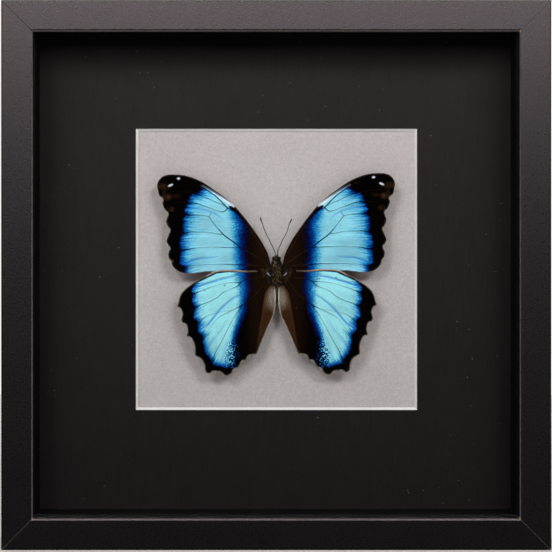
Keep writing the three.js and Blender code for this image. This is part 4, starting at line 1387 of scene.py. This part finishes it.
def add_camera():
    data = bpy.data.cameras.new("camera")
    camera = bpy.data.objects.new("camera", data)
    bpy.context.scene.collection.objects.link(camera)
    front = cad_bounds[0][1]
    camera.location = (CAMERA_X, front - CAMERA_DISTANCE, CAMERA_Z)
    camera.rotation_euler = (math.pi / 2, 0, 0)
    view_width = PICTURE_PIXELS / PIXELS_PER_METRE
    data.sensor_width = SENSOR_WIDTH
    data.lens = SENSOR_WIDTH * CAMERA_DISTANCE / view_width
    data.shift_x = (PICTURE_PIXELS / 2 - PRINCIPAL_PIXEL[0]) / PICTURE_PIXELS
    data.shift_y = (PRINCIPAL_PIXEL[1] - PICTURE_PIXELS / 2) / PICTURE_PIXELS
    data.clip_end = 50
    bpy.context.scene.camera = camera


def add_panel(name, azimuth, elevation, distance, size, watts):
    """A soft light panel, seen from the specimen at an azimuth from the front and an elevation."""
    data = bpy.data.lights.new(name, "AREA")
    data.shape = "RECTANGLE"
    data.size, data.size_y = size
    data.energy = watts
    panel = bpy.data.objects.new(name, data)
    bpy.context.scene.collection.objects.link(panel)
    turn, rise = math.radians(azimuth), math.radians(elevation)
    target = Vector((0, 0, SPECIMEN_Z * MM))
    direction = Vector((math.sin(turn) * math.cos(rise), -math.cos(turn) * math.cos(rise), math.sin(rise)))
    panel.location = target + direction * distance
    aim(panel, target)
    panel.visible_camera = False
    return panel


def add_lights():
    """The panels; the bank is only mirrored, the side panels never are, and the backdrop is pale."""
    for name, settings in PANELS.items():
        panel = add_panel(name, *settings)
        panel.visible_diffuse = not name.startswith("bank")
        panel.visible_glossy = not name.startswith("side")
    world = bpy.data.worlds.new("studio")
    bpy.context.scene.world = world
    world.use_nodes = True
    tree = world.node_tree
    tree.nodes.clear()
    output = tree.nodes.new("ShaderNodeOutputWorld")
    seen, dim = (tree.nodes.new("ShaderNodeBackground") for _ in range(2))
    seen.inputs["Color"].default_value = srgb(*BACKDROP)
    dim.inputs["Color"].default_value = AMBIENT
    path = tree.nodes.new("ShaderNodeLightPath")
    mixed = tree.nodes.new("ShaderNodeMixShader")
    tree.links.new(path.outputs["Is Camera Ray"], mixed.inputs[0])
    tree.links.new(dim.outputs[0], mixed.inputs[1])
    tree.links.new(seen.outputs[0], mixed.inputs[2])
    tree.links.new(mixed.outputs[0], output.inputs["Surface"])


def add_floor():
    g = Graph("studio_floor")
    base = g.shade(srgb(190, 188, 185), g.noise(160, 2), 0.98, 1.02)
    material = g.surface(Base_Color=base, Roughness=0.9, Specular_IOR_Level=0.2)
    mesh = bpy.data.meshes.new("floor")
    rim = arc((0, 0), FLOOR_RADIUS, 0, 360, FLOOR_CORNERS)[:-1]
    mesh.from_pydata([(x, y, 0) for x, y in rim], [], [tuple(range(FLOOR_CORNERS))])
    mesh.materials.append(material)
    floor = bpy.data.objects.new("floor", mesh)
    bpy.context.scene.collection.objects.link(floor)
    floor.visible_glossy = False


def dress_nodes():
    """Materials for the CAD nodes that keep their own shape."""
    finishes = {
        "glass": glass_material(),
        "spacer": spacer_material(),
        "window_mount": mount_material(),
        "background_card": card_material(),
        "back_board": hardboard_material(),
        "board_tab": steel_material(),
        "mounting_block": foam_material(),
    }
    finishes["hanger"] = finishes["board_tab"]
    for name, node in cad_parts.items():
        for start, material in finishes.items():
            if name.startswith(start):
                node.data.materials.clear()
                node.data.materials.append(material)


add_camera()
dress_nodes()
rail_materials = [
    foil_material("foil", 0.5, 0.06),
    fibreboard_material(),
    foil_material("foil_lip", 0.05, 0.01),
]
for side, side_name in enumerate(["bottom", "left", "top", "right"]):
    add_rail(side_name, side, rail_materials)
wing_top, wing_under = wing_top_material(), wing_under_material()
for wing in (Wing("forewing"), Wing("hindwing")):
    for side_name in SIDES:
        add_wing(wing, side_name, wing_top, wing_under)
skin = body_material()
body_hair = hair_material("body_hair", srgb(14, 9, 6), srgb(162, 130, 90), 0.92)
add_thorax(skin, body_hair)
add_head(skin, eye_material(), body_hair)
horn = limb_material()
root_hair = hair_material("root_hair", srgb(18, 11, 8), srgb(116, 86, 58), 0.85)
add_abdomen(horn, root_hair)
add_wing_root_hair(
    root_hair,
    hair_material("tuft_hair", srgb(70, 46, 34), srgb(172, 130, 104), 0.5),
    hair_material("streak_hair", srgb(196, 192, 208), srgb(232, 230, 244), 0.1),
)
add_limbs(horn)
add_lights()
add_floor()
bpy.context.scene.view_settings.view_transform = "Standard"
bpy.context.scene.view_settings.look = "Medium High Contrast"
